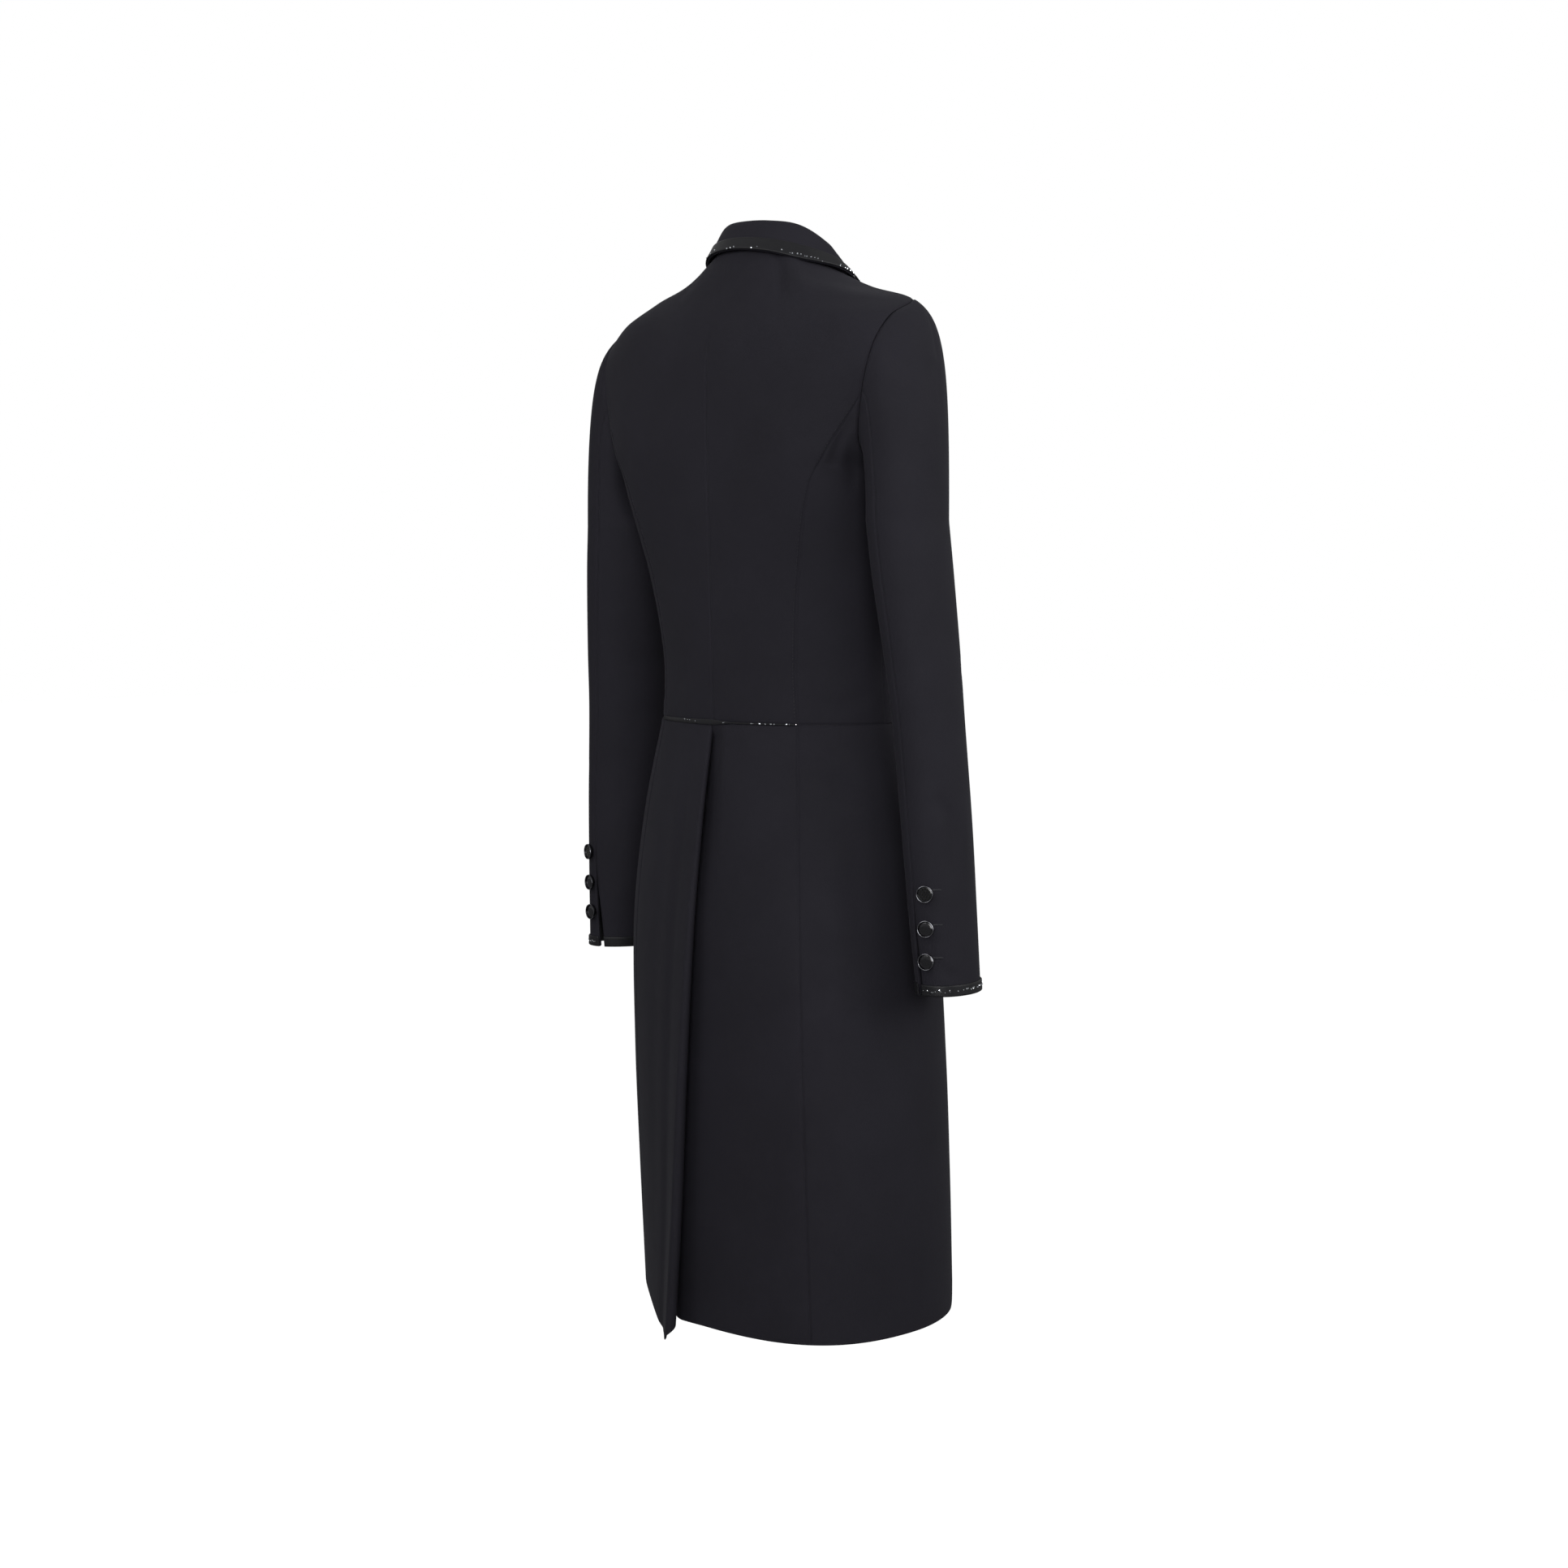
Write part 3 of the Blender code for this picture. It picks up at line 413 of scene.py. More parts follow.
def tail_point(side, w, level):
    """Tail: w runs from the inner edge (0) to the side of the hip (1) and the middle of the front (2)."""
    table = tails[side]
    z = table.read(level, "z")
    hip = Vector((table.read(level, "side_x"), table.read(level, "side_y"), z))
    inner = Vector((table.read(level, "inner_x"), table.read(level, "inner_y"), z))
    if w < 0:
        return inner + Vector((w * UNDERLAP, -UNDERLAP_BEND * (-w) ** 1.5, 0))
    if w <= 1:
        reach = Vector((table.read(level, "reach_x"), table.read(level, "reach_y"), 0))
        return bezier(inner, inner + reach, hip + Vector((0, table.read(level, "pull"), 0)), hip, w)
    middle = Vector((0, table.read(level, "front_y"), z))
    round_hip = Vector((0, (middle.y - hip.y) * QUARTER_ROUND, 0))
    across = Vector((hip.x * QUARTER_ROUND, 0, 0))
    return bezier(hip, hip + round_hip, middle + across, middle, w - 1)


def hem_rise(to_edge):
    """How far the hem climbs beside a tail's rounded front corner."""
    inside = max(TAIL_CORNER - to_edge, 0.0)
    return TAIL_CORNER - math.sqrt(TAIL_CORNER**2 - min(inside, TAIL_CORNER)**2)


def tail_level(v):
    """Level of a tail's row, v running from the hem up; rows lie closer near the waist."""
    return HEM_LEVEL * (1 - v) ** 1.3


def tip_drop(w, v):
    """How far the left tail's hem hangs lower towards its point."""
    near_edge = smooth(w, -0.048, 0.032) * max(1 - (w / TIP_REACH) ** 1.6, 0.0) ** 2
    return LEFT_TIP_DROP * near_edge * (1 - v) ** 2


def tail_surface(side, first, last):
    """Tail panel between two shares of the ring, each a function of the level; v runs up from the hem."""
    def point(u, v):
        level = tail_level(v)
        start, end = first(level), last(level)
        w = mix(start, end, u)
        place = tail_point(side, w, level)
        if end == TAIL_FRONT:
            corner = tail_point(side, TAIL_FRONT, level)
            place.z += hem_rise((corner - place).length) * (1 - v) ** 6
        if side == LEFT:
            place.z -= tip_drop(w, v)
        return place
    return point


def underlapped_surface(u, v):
    """The right tail's back panel: two columns of underlap, two that dip under the fold, then the panel."""
    level = tail_level(v)
    seam = tails[RIGHT].read(level, "seam")
    underlap = mix(0.04, 1, smooth(level, -0.1, 0.9))
    bounds = [(0, -underlap), (2, 0.0), (4, DIP_SHARE), (RIGHT_COLUMNS, seam)]
    column = u * RIGHT_COLUMNS
    for (start, low), (end, high) in zip(bounds, bounds[1:]):
        if column <= end:
            break
    w = mix(low, high, (column - start) / (end - start))
    place = tail_point(RIGHT, w, level)
    dip = mix(DIP_HIGH, DIP_LOW, smooth(level, 0.5, 2.0)) * smooth(level, 0, 0.2)
    hollow = WIDE_DIP * smooth(level, 0.05, 2.65) * min(max(1 - w / WIDE_DIP_SHARE, 0.0), 1.0) ** 1.4
    place.y -= dip * smooth(w, DIP_SHARE, 0) + hollow
    place.z -= 0.25 * hollow * max(level - HEM_LEVEL + 1, 0) ** 2
    return place


def rolled_surface(panel):
    """The left tail's back panel with its rolled inner edge and the return behind it."""
    roll_starts, roll_ends = ROLL_STARTS / LEFT_COLUMNS, ROLL_ENDS / LEFT_COLUMNS

    def point(u, v):
        level = tail_level(v)
        along = tail_point(LEFT, 0.03, level) - tail_point(LEFT, 0, level)
        along.normalize()
        away = Vector((-along.y, along.x, 0))
        softer = smooth(level, 0.2, 3.8)
        if u >= roll_ends:
            share = (u - roll_ends) / (1 - roll_ends)
            return panel(share, v) + away * ROLL_RISE * softer * smooth(share, ROLL_RISE_SHARE, 0)
        radius = mix(ROLL_RADIUS, SOFT_ROLL, softer)
        centre = panel(0, v) + away * (ROLL_RISE * softer - radius)
        half_turns = min((roll_ends - u) / (roll_ends - roll_starts), 1)
        turned = math.pi * half_turns
        place = centre + (away * math.cos(turned) - along * math.sin(turned)) * radius
        place.z += TIP_SLOPE * half_turns * (1 - v) ** 8
        return place + along * RETURN_DEPTH * max(1 - u / roll_starts, 0)
    return point

# %% Surfaces of the sleeves
def armhole_point(angle):
    """Armhole: -90 is under the arm, 0 the back of it, 90 the shoulder tip, 180 the front."""
    span = SHOULDER_TIP - UNDERARM
    angle = angle - 360 if angle > 270 else angle
    if angle <= 90:
        return edges.read(UNDERARM + span * (angle + 90) / 180, "back_x back_y back_z")
    return edges.read(SHOULDER_TIP - span * (angle - 90) / 180, "front_x front_y front_z")


def off_body(x, z):
    """Presses the inside of a sleeve flat where the coat's side would meet it."""
    wall = edges.read(min(max(body_side.level_at(z), 0.0), UNDERARM), "back_x") + OFF_BODY
    return wall + (x - wall + math.hypot(x - wall, PRESS)) / 2


def ring_point(angle, z):
    """Sleeve below the armhole, at an angle round it and a height."""
    level = sleeves.level_at(-z)
    turn, a = math.radians(SLEEVE_TURN), math.radians(angle)
    along = sleeves.read(level, "long") * math.cos(a)
    out = sleeves.read(level, "short") * math.sin(a)
    x = sleeves.read(level, "x") + along * math.sin(turn) + out * math.cos(turn)
    y = sleeves.read(level, "y") + along * math.cos(turn) - out * math.sin(turn)
    return Vector((off_body(x, z), y, z))


def sleeve_point(angle, v):
    """Sleeve: v runs from the cuff (0) up to the first ring (1) and over the cap to the armhole (2)."""
    if v <= 1:
        return ring_point(angle, mix(CUFF_Z, SLEEVE[0].z, v))
    a = math.radians(angle)
    upper = (1 + math.sin(a)) / 2
    high = upper ** 2.2
    away = Vector((mix(0.8, 1, upper), 0.2 * math.cos(a), -0.35 - 0.5 * (1 - upper))).normalized()
    top = armhole_point(angle) + away * CAP_LEAVES
    ring = ring_point(angle, SLEEVE[0].z)
    leaves = away * mix(13, 30 + 14 * math.cos(a), high)
    return bezier(ring, ring + Vector((0, 0, mix(8, 128, high))), top + leaves, top, v - 1)


def hind_seam(side, v):
    """Angle of the sleeve's hind seam at a height of the sleeve."""
    z = mix(CUFF_Z, SLEEVE[0].z, min(v, 1.0))
    return hind_seams.read(hind_seams.level_at(-z), "left" if side == LEFT else "right")


def vent_gap(v):
    """Degrees that the vent stands open at a height of the sleeve."""
    z = mix(CUFF_Z, SLEEVE[0].z, min(v, 1.0))
    return VENT_OPENS * smooth(z, VENT_TOP_Z, CUFF_Z)


def sleeve_top_surface(side):
    def point(u, v):
        return sleeve_point(mix(hind_seam(side, 2 * v) + vent_gap(2 * v) / 2, FORE_SEAM, u), 2 * v)
    return point


def sleeve_under_surface(side):
    def point(u, v):
        end = 360 + hind_seam(side, 2 * v) - vent_gap(2 * v) / 2
        return sleeve_point(mix(FORE_SEAM + FORE_GAP, end, u), 2 * v)
    return point

# %% Surfaces of the collar
COLLAR_SPAN = 2 * COLLAR_MIDDLE
ROLL_SHARE = 0.1        # share of the fall's height that turns over inside the neck
ROLL_OVER = 2.4         # radius of that turn


def fall_point(u, v):
    """Collar's outer leaf: u is a row of the whole table, v runs up from the edge (0) to the roll (1)."""
    roll = collar.read(u, "roll_x roll_y roll_z")
    edge = collar.read(u, "edge_x edge_y edge_z")
    across = edge - roll
    flat = Vector((across.x, across.y, 0))
    down = Vector((0, 0, across.z))
    return bezier(edge, edge - flat * 0.5 - down * 0.52, roll + flat * 0.28, roll, v)


STAND_REACH = 5.0       # row of the collar's table where the stand's cloth tapers away under the fall


def stand_surface(u, v):
    row = COLLAR_MIDDLE + mix(-STAND_REACH, STAND_REACH, u)
    seam = collar.read(row, "seam_x seam_y seam_z")
    roll = collar.read(row, "roll_x roll_y roll_z")
    return mix(seam, roll - Vector((0, 0, CLOTH + 0.6)), v)


def fall_surface(u, v):
    """The collar's outer leaf, which goes on past the roll line and down inside the neck."""
    over = max(v - (1 - ROLL_SHARE), 0) / ROLL_SHARE
    place = fall_point(u * COLLAR_SPAN, min(v / (1 - ROLL_SHARE), 1))
    outer = collar.read(u * COLLAR_SPAN, "edge_x edge_y edge_z")
    across = outer - collar.read(u * COLLAR_SPAN, "roll_x roll_y roll_z")
    inward = -Vector((across.x, across.y, 0)).normalized()
    turn = over * math.pi / 2
    return place + (inward * math.sin(turn) - Vector((0, 0, 1 - math.cos(turn)))) * ROLL_OVER

# %% Surfaces that lie on others
def outward(surface, u, v):
    """Unit normal of a surface of (u, v) whose u runs from the back round to the front and v upwards."""
    e = 0.004
    along = surface(min(u + e, 1), v) - surface(max(u - e, 0), v)
    up = surface(u, min(v + e, 1)) - surface(u, max(v - e, 0))
    return up.cross(along).normalized()


def raised(surface, height):
    """The same surface moved out along its normals."""
    return lambda u, v: surface(u, v) + outward(surface, u, v) * height


def collar_strip(u, v):
    return fall_point(u * COLLAR_SPAN, COLLAR_TRIM_SHARE * v)


def laid(strip):
    """A trim's strip where it lies on the cloth."""
    return raised(strip, OVER + TRIM)


def cuff_strip(side):
    """The cuff's edge all round, from the vent to the vent."""
    top, under = sleeve_top_surface(side), sleeve_under_surface(side)

    def point(u, v):
        low = v * CUFF_TRIM_WIDTH / (SLEEVE[0].z - CUFF_Z) / 2
        return top(2 * u, low) if u <= 0.5 else under(2 * u - 1, low)
    return point


def lapel_surface(word, side):
    """Lapel: u runs from its outer edge to the fold line, v up from the top button to the notch."""
    front = front_surface(side)
    lift = raised(front, LAPEL_LIFT + CLOTH)

    def point(u, v):
        level = mix(LAPEL_BOTTOM[word], LAPEL_TOP - 0.35 * (1 - u), v)
        share = LAPEL_WIDTH * (0.1 + 0.9 * math.sin(math.pi / 2 * min(v * 1.15, 1)) ** 0.8)
        return lift(mix(FRONT_MIDDLE * (1 - share), FRONT_MIDDLE - 0.01, u), level / NECK)
    return point


def piping_size(u):
    """The piping is full over the left tail's fold, and over the right tail it sinks into the seam."""
    return mix(0.22, 1.0, smooth(u, 0.36, 0.5)) * mix(1.0, 0.8, smooth(u, 0.5, 0.8))


def piping_strip(u, v):
    """Half-round cord cover over the waist seam, between the princess seams."""
    share = abs(2 * u - 1) * BACK[0].princess
    place = back_point(share, 0)
    ahead = back_point(share + 0.01, 0) - place
    away = Vector((-ahead.y, ahead.x, 0)).normalized()
    turn = mix(-math.pi / 2, math.pi / 2, v)
    size = piping_size(u)
    stands_out = PIPING_GAP + TRIM + (PIPING_STANDS_OUT - TRIM) * math.cos(turn)
    place += away * stands_out * mix(0.4, 1, size)
    place.z += math.sin(turn) * PIPING_WIDTH / 2 * size
    place.x *= 1 if u > 0.5 else -1
    return place


def length_of(curve, steps):
    """Length of a curve of one share, measured in steps."""
    return sum((curve((k + 1) / steps) - curve(k / steps)).length for k in range(steps))


def placed(point, side):
    """A point from the tables where it belongs on one side of the coat, in metres."""
    x = point.x * side
    rise = LEFT_SHOULDER_RISE * smooth(x, *RISES_OUT) * smooth(point.z, *RISES_UP)
    return Vector((x, point.y, point.z + rise)) * MM

# %% [markdown]
# Colours are written as the eye reads them on a screen, in hex, and one function turns them into the linear
# values that light is worked out in. A second small function adds any node with its settings and its links.

# %% Colour and node helpers
def linear(code):
    """Linear RGBA of an sRGB hex colour such as "26262B"."""
    shares = [int(code[i:i + 2], 16) / 255 for i in (0, 2, 4)]
    return tuple(c / 12.92 if c <= 0.04045 else ((c + 0.055) / 1.055) ** 2.4 for c in shares) + (1.0,)


def add_node(tree, kind, settings=None, **inputs):
    """Adds a node; each input is a value or the socket that feeds it, and names use _ for a space."""
    node = tree.nodes.new(kind)
    for name, value in (settings or {}).items():
        setattr(node, name, value)
    for name, value in inputs.items():
        socket = node.inputs[int(name[1:]) if name[0] == "_" else name.replace("_", " ")]
        if isinstance(value, bpy.types.NodeSocket):
            tree.links.new(value, socket)
        else:
            socket.default_value = value
    return node


def maths(tree, operation, *values):
    """The result of a Math node."""
    inputs = {f"_{k}": value for k, value in enumerate(values)}
    return add_node(tree, "ShaderNodeMath", {"operation": operation}, **inputs).outputs[0]


def new_material(name, **settings):
    """A material and its Principled shader, with plain values set on the shader's own sockets."""
    made = bpy.data.materials.new(name)
    made.use_nodes = True
    shader = made.node_tree.nodes["Principled BSDF"]
    for key, value in settings.items():
        shader.inputs[key.replace("_", " ")].default_value = value
    return made, made.node_tree, shader

# %% [markdown]
# The coat's cloth is a bonded stretch twill of polyester and elastane, dyed near black. Its threads are
# about 0.3 mm apart, too fine for a picture of the whole coat, so the rib is drawn at 0.9 mm. It has no
# gloss, only the faint pale bloom of brushed fibres seen edge on, which sheen gives. The rib follows each
# piece's own grain through its UV map, whose unit is one metre of cloth.

# %% Stretch twill
TWILL_RIB = 0.9 * MM
TWILL_DEPTH = 0.05 * MM
TWILL_LEAN = math.radians(62)   # how steeply the rib climbs across the grain


def ribs(tree, along, rib):
    """Waves of one rib's width across a direction of the UV map, from -1 to 1."""
    uv = add_node(tree, "ShaderNodeUVMap", {"uv_map": "grain"})
    run = add_node(tree, "ShaderNodeVectorMath", {"operation": "DOT_PRODUCT"}, _0=uv.outputs[0], _1=along)
    return maths(tree, "SINE", maths(tree, "MULTIPLY", run.outputs["Value"], 2 * math.pi / rib))


def cloudy(tree, scale):
    """Soft uneven patches, from 0 to 1."""
    place = add_node(tree, "ShaderNodeTexCoord")
    return add_node(tree, "ShaderNodeTexNoise", Vector=place.outputs["Object"], Scale=scale).outputs[0]


def dye(tree, shader, dark, light, scale):
    """Two near shades of one colour, in soft patches."""
    shades = {"_6": linear(dark), "_7": linear(light)}
    shade = add_node(tree, "ShaderNodeMix", {"data_type": "RGBA"}, _0=cloudy(tree, scale), **shades)
    tree.links.new(shade.outputs[2], shader.inputs["Base Color"])


def emboss(tree, shader, height, strength, depth):
    bump = add_node(tree, "ShaderNodeBump", Strength=strength, Distance=depth, Height=height)
    tree.links.new(bump.outputs[0], shader.inputs["Normal"])


def vary_gloss(tree, shader, scale, low, high):
    rough = add_node(tree, "ShaderNodeMapRange", Value=cloudy(tree, scale), To_Min=low, To_Max=high)
    tree.links.new(rough.outputs[0], shader.inputs["Roughness"])


def twill():
    made, tree, shader = new_material(
        "brushed stretch twill", Specular_IOR_Level=0.12, Sheen_Weight=0.04, Sheen_Roughness=0.4,
        Sheen_Tint=linear("8A8A96"))
    dye(tree, shader, "151419", "1A191F", 14.0)
    rib = ribs(tree, (math.cos(TWILL_LEAN), math.sin(TWILL_LEAN), 0), TWILL_RIB)
    fibres = maths(tree, "MULTIPLY_ADD", cloudy(tree, 1800.0), 0.8, rib)
    emboss(tree, shader, fibres, 0.5, TWILL_DEPTH)
    vary_gloss(tree, shader, 40.0, 0.76, 0.88)
    return made


cloth = twill()
print("made", cloth.name)

# %% [markdown]
# The lining is a warp-knit satin. It is smooth and slides over a shirt, so it is glossier than the cloth,
# and its gloss is streaked along the grain.

# %% Satin lining
SATIN_DEPTH = 0.03 * MM


def satin(name, dark, light, roughness, gloss, pitch):
    made, tree, shader = new_material(name, Roughness=roughness, Specular_IOR_Level=gloss)
    dye(tree, shader, dark, light, 30.0)
    emboss(tree, shader, ribs(tree, (1, 0, 0), pitch), 0.3, SATIN_DEPTH)
    return made


lining = satin("warp-knit satin lining", "0E0E10", "141417", 0.42, 0.3, 0.8 * MM)
trim_satin = satin("coated satin trim", "141416", "19191B", 0.42, 0.14, 0.6 * MM)
thread = satin("twisted polyester thread", "19191C", "202024", 0.5, 0.2, 0.5 * MM)

# %% [markdown]
# The buttons are turned from brass and plated in gunmetal, with a domed face of black enamel. Plating is a
# metal, so its colour is all reflection. Enamel is glass: black underneath, with a hard clear surface.

# %% Metal, enamel and cut glass
def hard_finish(name, colour, scratch, **settings):
    """A smooth hard surface whose gloss varies a little, as handled things do."""
    made, tree, shader = new_material(name, Base_Color=linear(colour), **settings)
    vary_gloss(tree, shader, 900.0, *scratch)
    return made


gunmetal = hard_finish("gunmetal plating", "5E5E62", (0.2, 0.3), Metallic=1.0)
enamel = hard_finish("black glass enamel", "161618", (0.08, 0.14), Specular_IOR_Level=0.35)
cut_glass = hard_finish("foil-backed cut glass", "E6EAF0", (0.03, 0.08), Metallic=0.9)
smoked_glass = hard_finish("smoked cut glass", "4A4A46", (0.03, 0.08), Metallic=0.9)
print("materials:", len(bpy.data.materials))

# %% [markdown]
# A sewn edge isn't square. Where two pieces meet, the seam pulls both of them in by about a millimetre, and
# light catches the little roll on each side. A free edge, such as a hem, is turned under, so it ends in a
# tight round. The grid of a panel therefore has lines close together near its edges and wider ones in the
# middle.

# %% Edges of cloth
GRID = 3.2                              # mm between grid lines in the middle of a panel
CLOSE_LINES = (0.0, 0.35, 0.8, 1.4, 2.2, 3.2, 4.6)
SEAM_SINK, SEAM_ROLL = 0.8, 2.8         # how deep a seam pulls the cloth in, and from how far away
HEM_SINK, HEM_ROLL = 0.9, 1.3           # the tighter round of a turned edge
ALLOWANCE = 3.0                         # how far a sewn edge goes on inside
EDGE_SLOTS = {"inner": (0, 0), "outer": (0, 1), "low": (1, 0), "high": (1, 1)}


def all_round(kind, **others):
    """A panel's four edges, all "seam" or all "hem" apart from the others named."""
    return {edge: kind for edge in EDGE_SLOTS} | others


def shares(length):
    """Grid lines from 0 to 1 along a length in mm, close together at both ends."""
    near = [d / length for d in CLOSE_LINES if d < 0.4 * length]
    far = [1 - share for share in reversed(near)]
    count = max(round((far[0] - near[-1]) * length / GRID), 1)
    return near + [mix(near[-1], far[0], k / count) for k in range(1, count)] + far


def sunk(distance, kind):
    """How far the cloth lies below its form at a distance from an edge."""
    if kind == "seam":
        return SEAM_SINK * smooth(distance, SEAM_ROLL, 0) ** 1.5
    inside = max(1 - distance / HEM_ROLL, 0.0)
    return HEM_SINK * (1 - math.sqrt(1 - inside**2))

# %% [markdown]
# Creases are placed one by one. Each is a line on its piece, given by its shares, with a width and a depth in
# millimetres: a positive depth is a trough, and a negative one is a ridge. It fades towards its ends,
# unless it runs off the hem, and no two are alike, because cloth that hangs never repeats itself.

# %% Creases
CREASE_STEPS = 16
Crease = namedtuple("Crease", "places width depth")
CREASES = {
    "back_right_cloth": [
        Crease([(0.42, 1.0), (0.35, 0.89), (0.31, 0.83), (0.30, 0.76)], 4, 3.6),
        Crease([(0.54, 1.02), (0.44, 0.88), (0.39, 0.78)], 8, -2.2),
        Crease([(0.96, 0.47), (0.80, 0.43), (0.60, 0.41)], 11, 1.3),
        Crease([(0.92, 0.06), (0.55, 0.09), (0.20, 0.07)], 9, 0.6),
    ],
    "back_left_cloth": [
        Crease([(0.30, 0.93), (0.26, 0.87), (0.27, 0.80)], 8, 0.7),
        Crease([(0.95, 0.46), (0.84, 0.41), (0.70, 0.37)], 10, 0.9),
        Crease([(0.90, 0.08), (0.60, 0.06), (0.30, 0.08)], 8, 0.5),
    ],
    "side_back_right_cloth": [
        Crease([(0.38, 0.93), (0.29, 0.81), (0.26, 0.68)], 6, 2.8),
        Crease([(0.78, 0.86), (0.60, 0.72), (0.52, 0.56)], 7, 2.5),
        Crease([(0.08, 0.09), (0.45, 0.06), (0.90, 0.11)], 8, 0.9),
    ],
    "side_back_left_cloth": [
        Crease([(0.45, 0.90), (0.32, 0.80), (0.30, 0.70)], 7, 1.0),
        Crease([(0.10, 0.07), (0.50, 0.10), (0.90, 0.07)], 7, 0.8),
    ],
    "front_right_cloth": [
        Crease([(0.05, 0.34), (0.30, 0.40), (0.55, 0.43)], 12, 1.5),
        Crease([(0.10, 0.46), (0.30, 0.52), (0.48, 0.60)], 9, 1.0),
        Crease([(0.95, 0.17), (0.70, 0.20), (0.40, 0.17)], 10, 1.1),
    ],
    "front_left_cloth": [
        Crease([(0.06, 0.36), (0.28, 0.41), (0.50, 0.46)], 11, 1.3),
        Crease([(0.12, 0.48), (0.30, 0.55), (0.44, 0.60)], 8, 0.9),
        Crease([(0.80, 0.22), (0.60, 0.19), (0.35, 0.21)], 9, 0.9),
    ],
    "sleeve_top_right_cloth": [
        Crease([(0.24, 0.215), (0.34, 0.19), (0.37, 0.165), (0.36, 0.12)], 7, 3.2),
        Crease([(0.47, 0.21), (0.46, 0.17), (0.44, 0.12)], 10, -1.4),
        Crease([(0.44, 0.745), (0.41, 0.71), (0.39, 0.66)], 8, 2.2),
        Crease([(0.12, 0.046), (0.17, 0.036), (0.23, 0.023)], 3.5, 1.4),
        Crease([(0.20, 0.033), (0.27, 0.021), (0.34, 0.022)], 3, 1.2),
        Crease([(0.96, 0.36), (0.80, 0.335), (0.62, 0.35)], 9, 1.8),
        Crease([(0.97, 0.305), (0.84, 0.295), (0.70, 0.31)], 7, 1.3),
        Crease([(0.95, 0.335), (0.82, 0.315), (0.66, 0.33)], 6, -0.8),
    ],
    "sleeve_top_left_cloth": [
        Crease([(0.20, 0.23), (0.30, 0.20), (0.33, 0.14)], 9, 1.4),
        Crease([(0.40, 0.75), (0.38, 0.70), (0.37, 0.65)], 10, 1.2),
        Crease([(0.96, 0.35), (0.78, 0.33), (0.60, 0.36)], 10, 1.6),
        Crease([(0.96, 0.29), (0.82, 0.285), (0.72, 0.30)], 7, 1.1),
    ],
    "sleeve_under_right_cloth": [
        Crease([(0.05, 0.36), (0.30, 0.345), (0.60, 0.36)], 9, 1.6),
        Crease([(0.04, 0.30), (0.25, 0.29), (0.50, 0.30)], 7, 1.2),
    ],
    "sleeve_under_left_cloth": [
        Crease([(0.05, 0.35), (0.32, 0.34), (0.62, 0.35)], 9, 1.5),
        Crease([(0.05, 0.285), (0.28, 0.28), (0.52, 0.295)], 8, 1.1),
    ],
    "tail_back_left_cloth": [
        Crease([(0.56, 0.95), (0.575, 0.50), (0.585, 0.0)], 8, 1.5),
        Crease([(0.74, 0.97), (0.70, 0.60), (0.73, 0.08)], 15, 1.2),
    ],
    "tail_side_left_cloth": [
        Crease([(0.30, 0.97), (0.36, 0.70), (0.33, 0.30)], 16, 1.3),
        Crease([(0.62, 0.95), (0.66, 0.60), (0.64, 0.15)], 14, -1.2),
    ],
    "tail_back_right_cloth": [Crease([(0.78, 0.55), (0.80, 0.30), (0.76, 0.06)], 16, 0.9)],
    "tail_side_right_cloth": [
        Crease([(0.22, 0.92), (0.27, 0.62), (0.25, 0.25)], 15, 1.2),
        Crease([(0.60, 0.96), (0.63, 0.70), (0.66, 0.30)], 14, -1.1),
    ],
}


def crease_line(crease, surface, side):
    """Points along a crease on the surface, in mm, on the coat's own side."""
    points = []
    places = crease.places
    for k in range(CREASE_STEPS + 1):
        t = k / CREASE_STEPS * (len(places) - 1)
        i = min(int(t), len(places) - 2)
        u, v = (mix(a, b, t - i) for a, b in zip(places[i], places[i + 1]))
        points.append(placed(surface(u, v), side) / MM)
    return points


def crease_depth(point, line, crease):
    """How deep a crease is at a point, by its distance from the line and its place along it."""
    nearest, share = 3 * crease.width, 0.0
    if (line[0] - point).length > 2 * (line[0] - line[-1]).length + nearest:
        return 0.0
    for k, (start, end) in enumerate(zip(line, line[1:])):
        along = end - start
        t = min(max((point - start).dot(along) / along.length_squared, 0.0), 1.0)
        distance = (start + along * t - point).length
        if distance < nearest:
            nearest, share = distance, (k + t) / (len(line) - 1)
    if crease.places[-1][1] == 0:
        share = min(share, 0.5)
    fades = max(math.sin(math.pi * share), 0.0) ** 0.7
    return crease.depth * fades * math.exp(-(nearest / crease.width) ** 2)

# %% [markdown]
# One function sews every panel. It starts from Blender's grid, moves each point to its place on the
# surface, lets Blender work out the normals, and sinks the edges and creases along them. The distances
# along the grid become the UV map, so the weave keeps its true size and follows the cut. A Solidify
# modifier gives the cloth its thickness and puts the lining on its inner face.

# %% The panel maker
sewn_on = defaultdict(list)     # panel: the small pieces that are sewn to it


def made_object(name, bm, *finishes):
    """Closes a mesh and makes it an object of the scene."""
    mesh = bpy.data.meshes.new(name)
    bm.to_mesh(mesh)
    bm.free()
    for finish in finishes:
        mesh.materials.append(finish)
    made = bpy.data.objects.new(name, mesh)
    bpy.context.scene.collection.objects.link(made)
    return made


def made_piece(name, bm, finishes, sharp_angle):
    """The same for a piece of the coat, shaded smooth up to an angle in degrees."""
    piece = made_object(name, bm, *finishes)
    piece.data.shade_smooth()
    piece.data.set_sharp_from_angle(angle=math.radians(sharp_angle))
    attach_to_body(piece, "root")
    return piece


def attach(piece, carrier, node=None):
    """Sews a small piece to the panel that carries it; node is the solid that it stands for."""
    if node:
        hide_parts(node)
    sewn_on[carrier].append(piece)


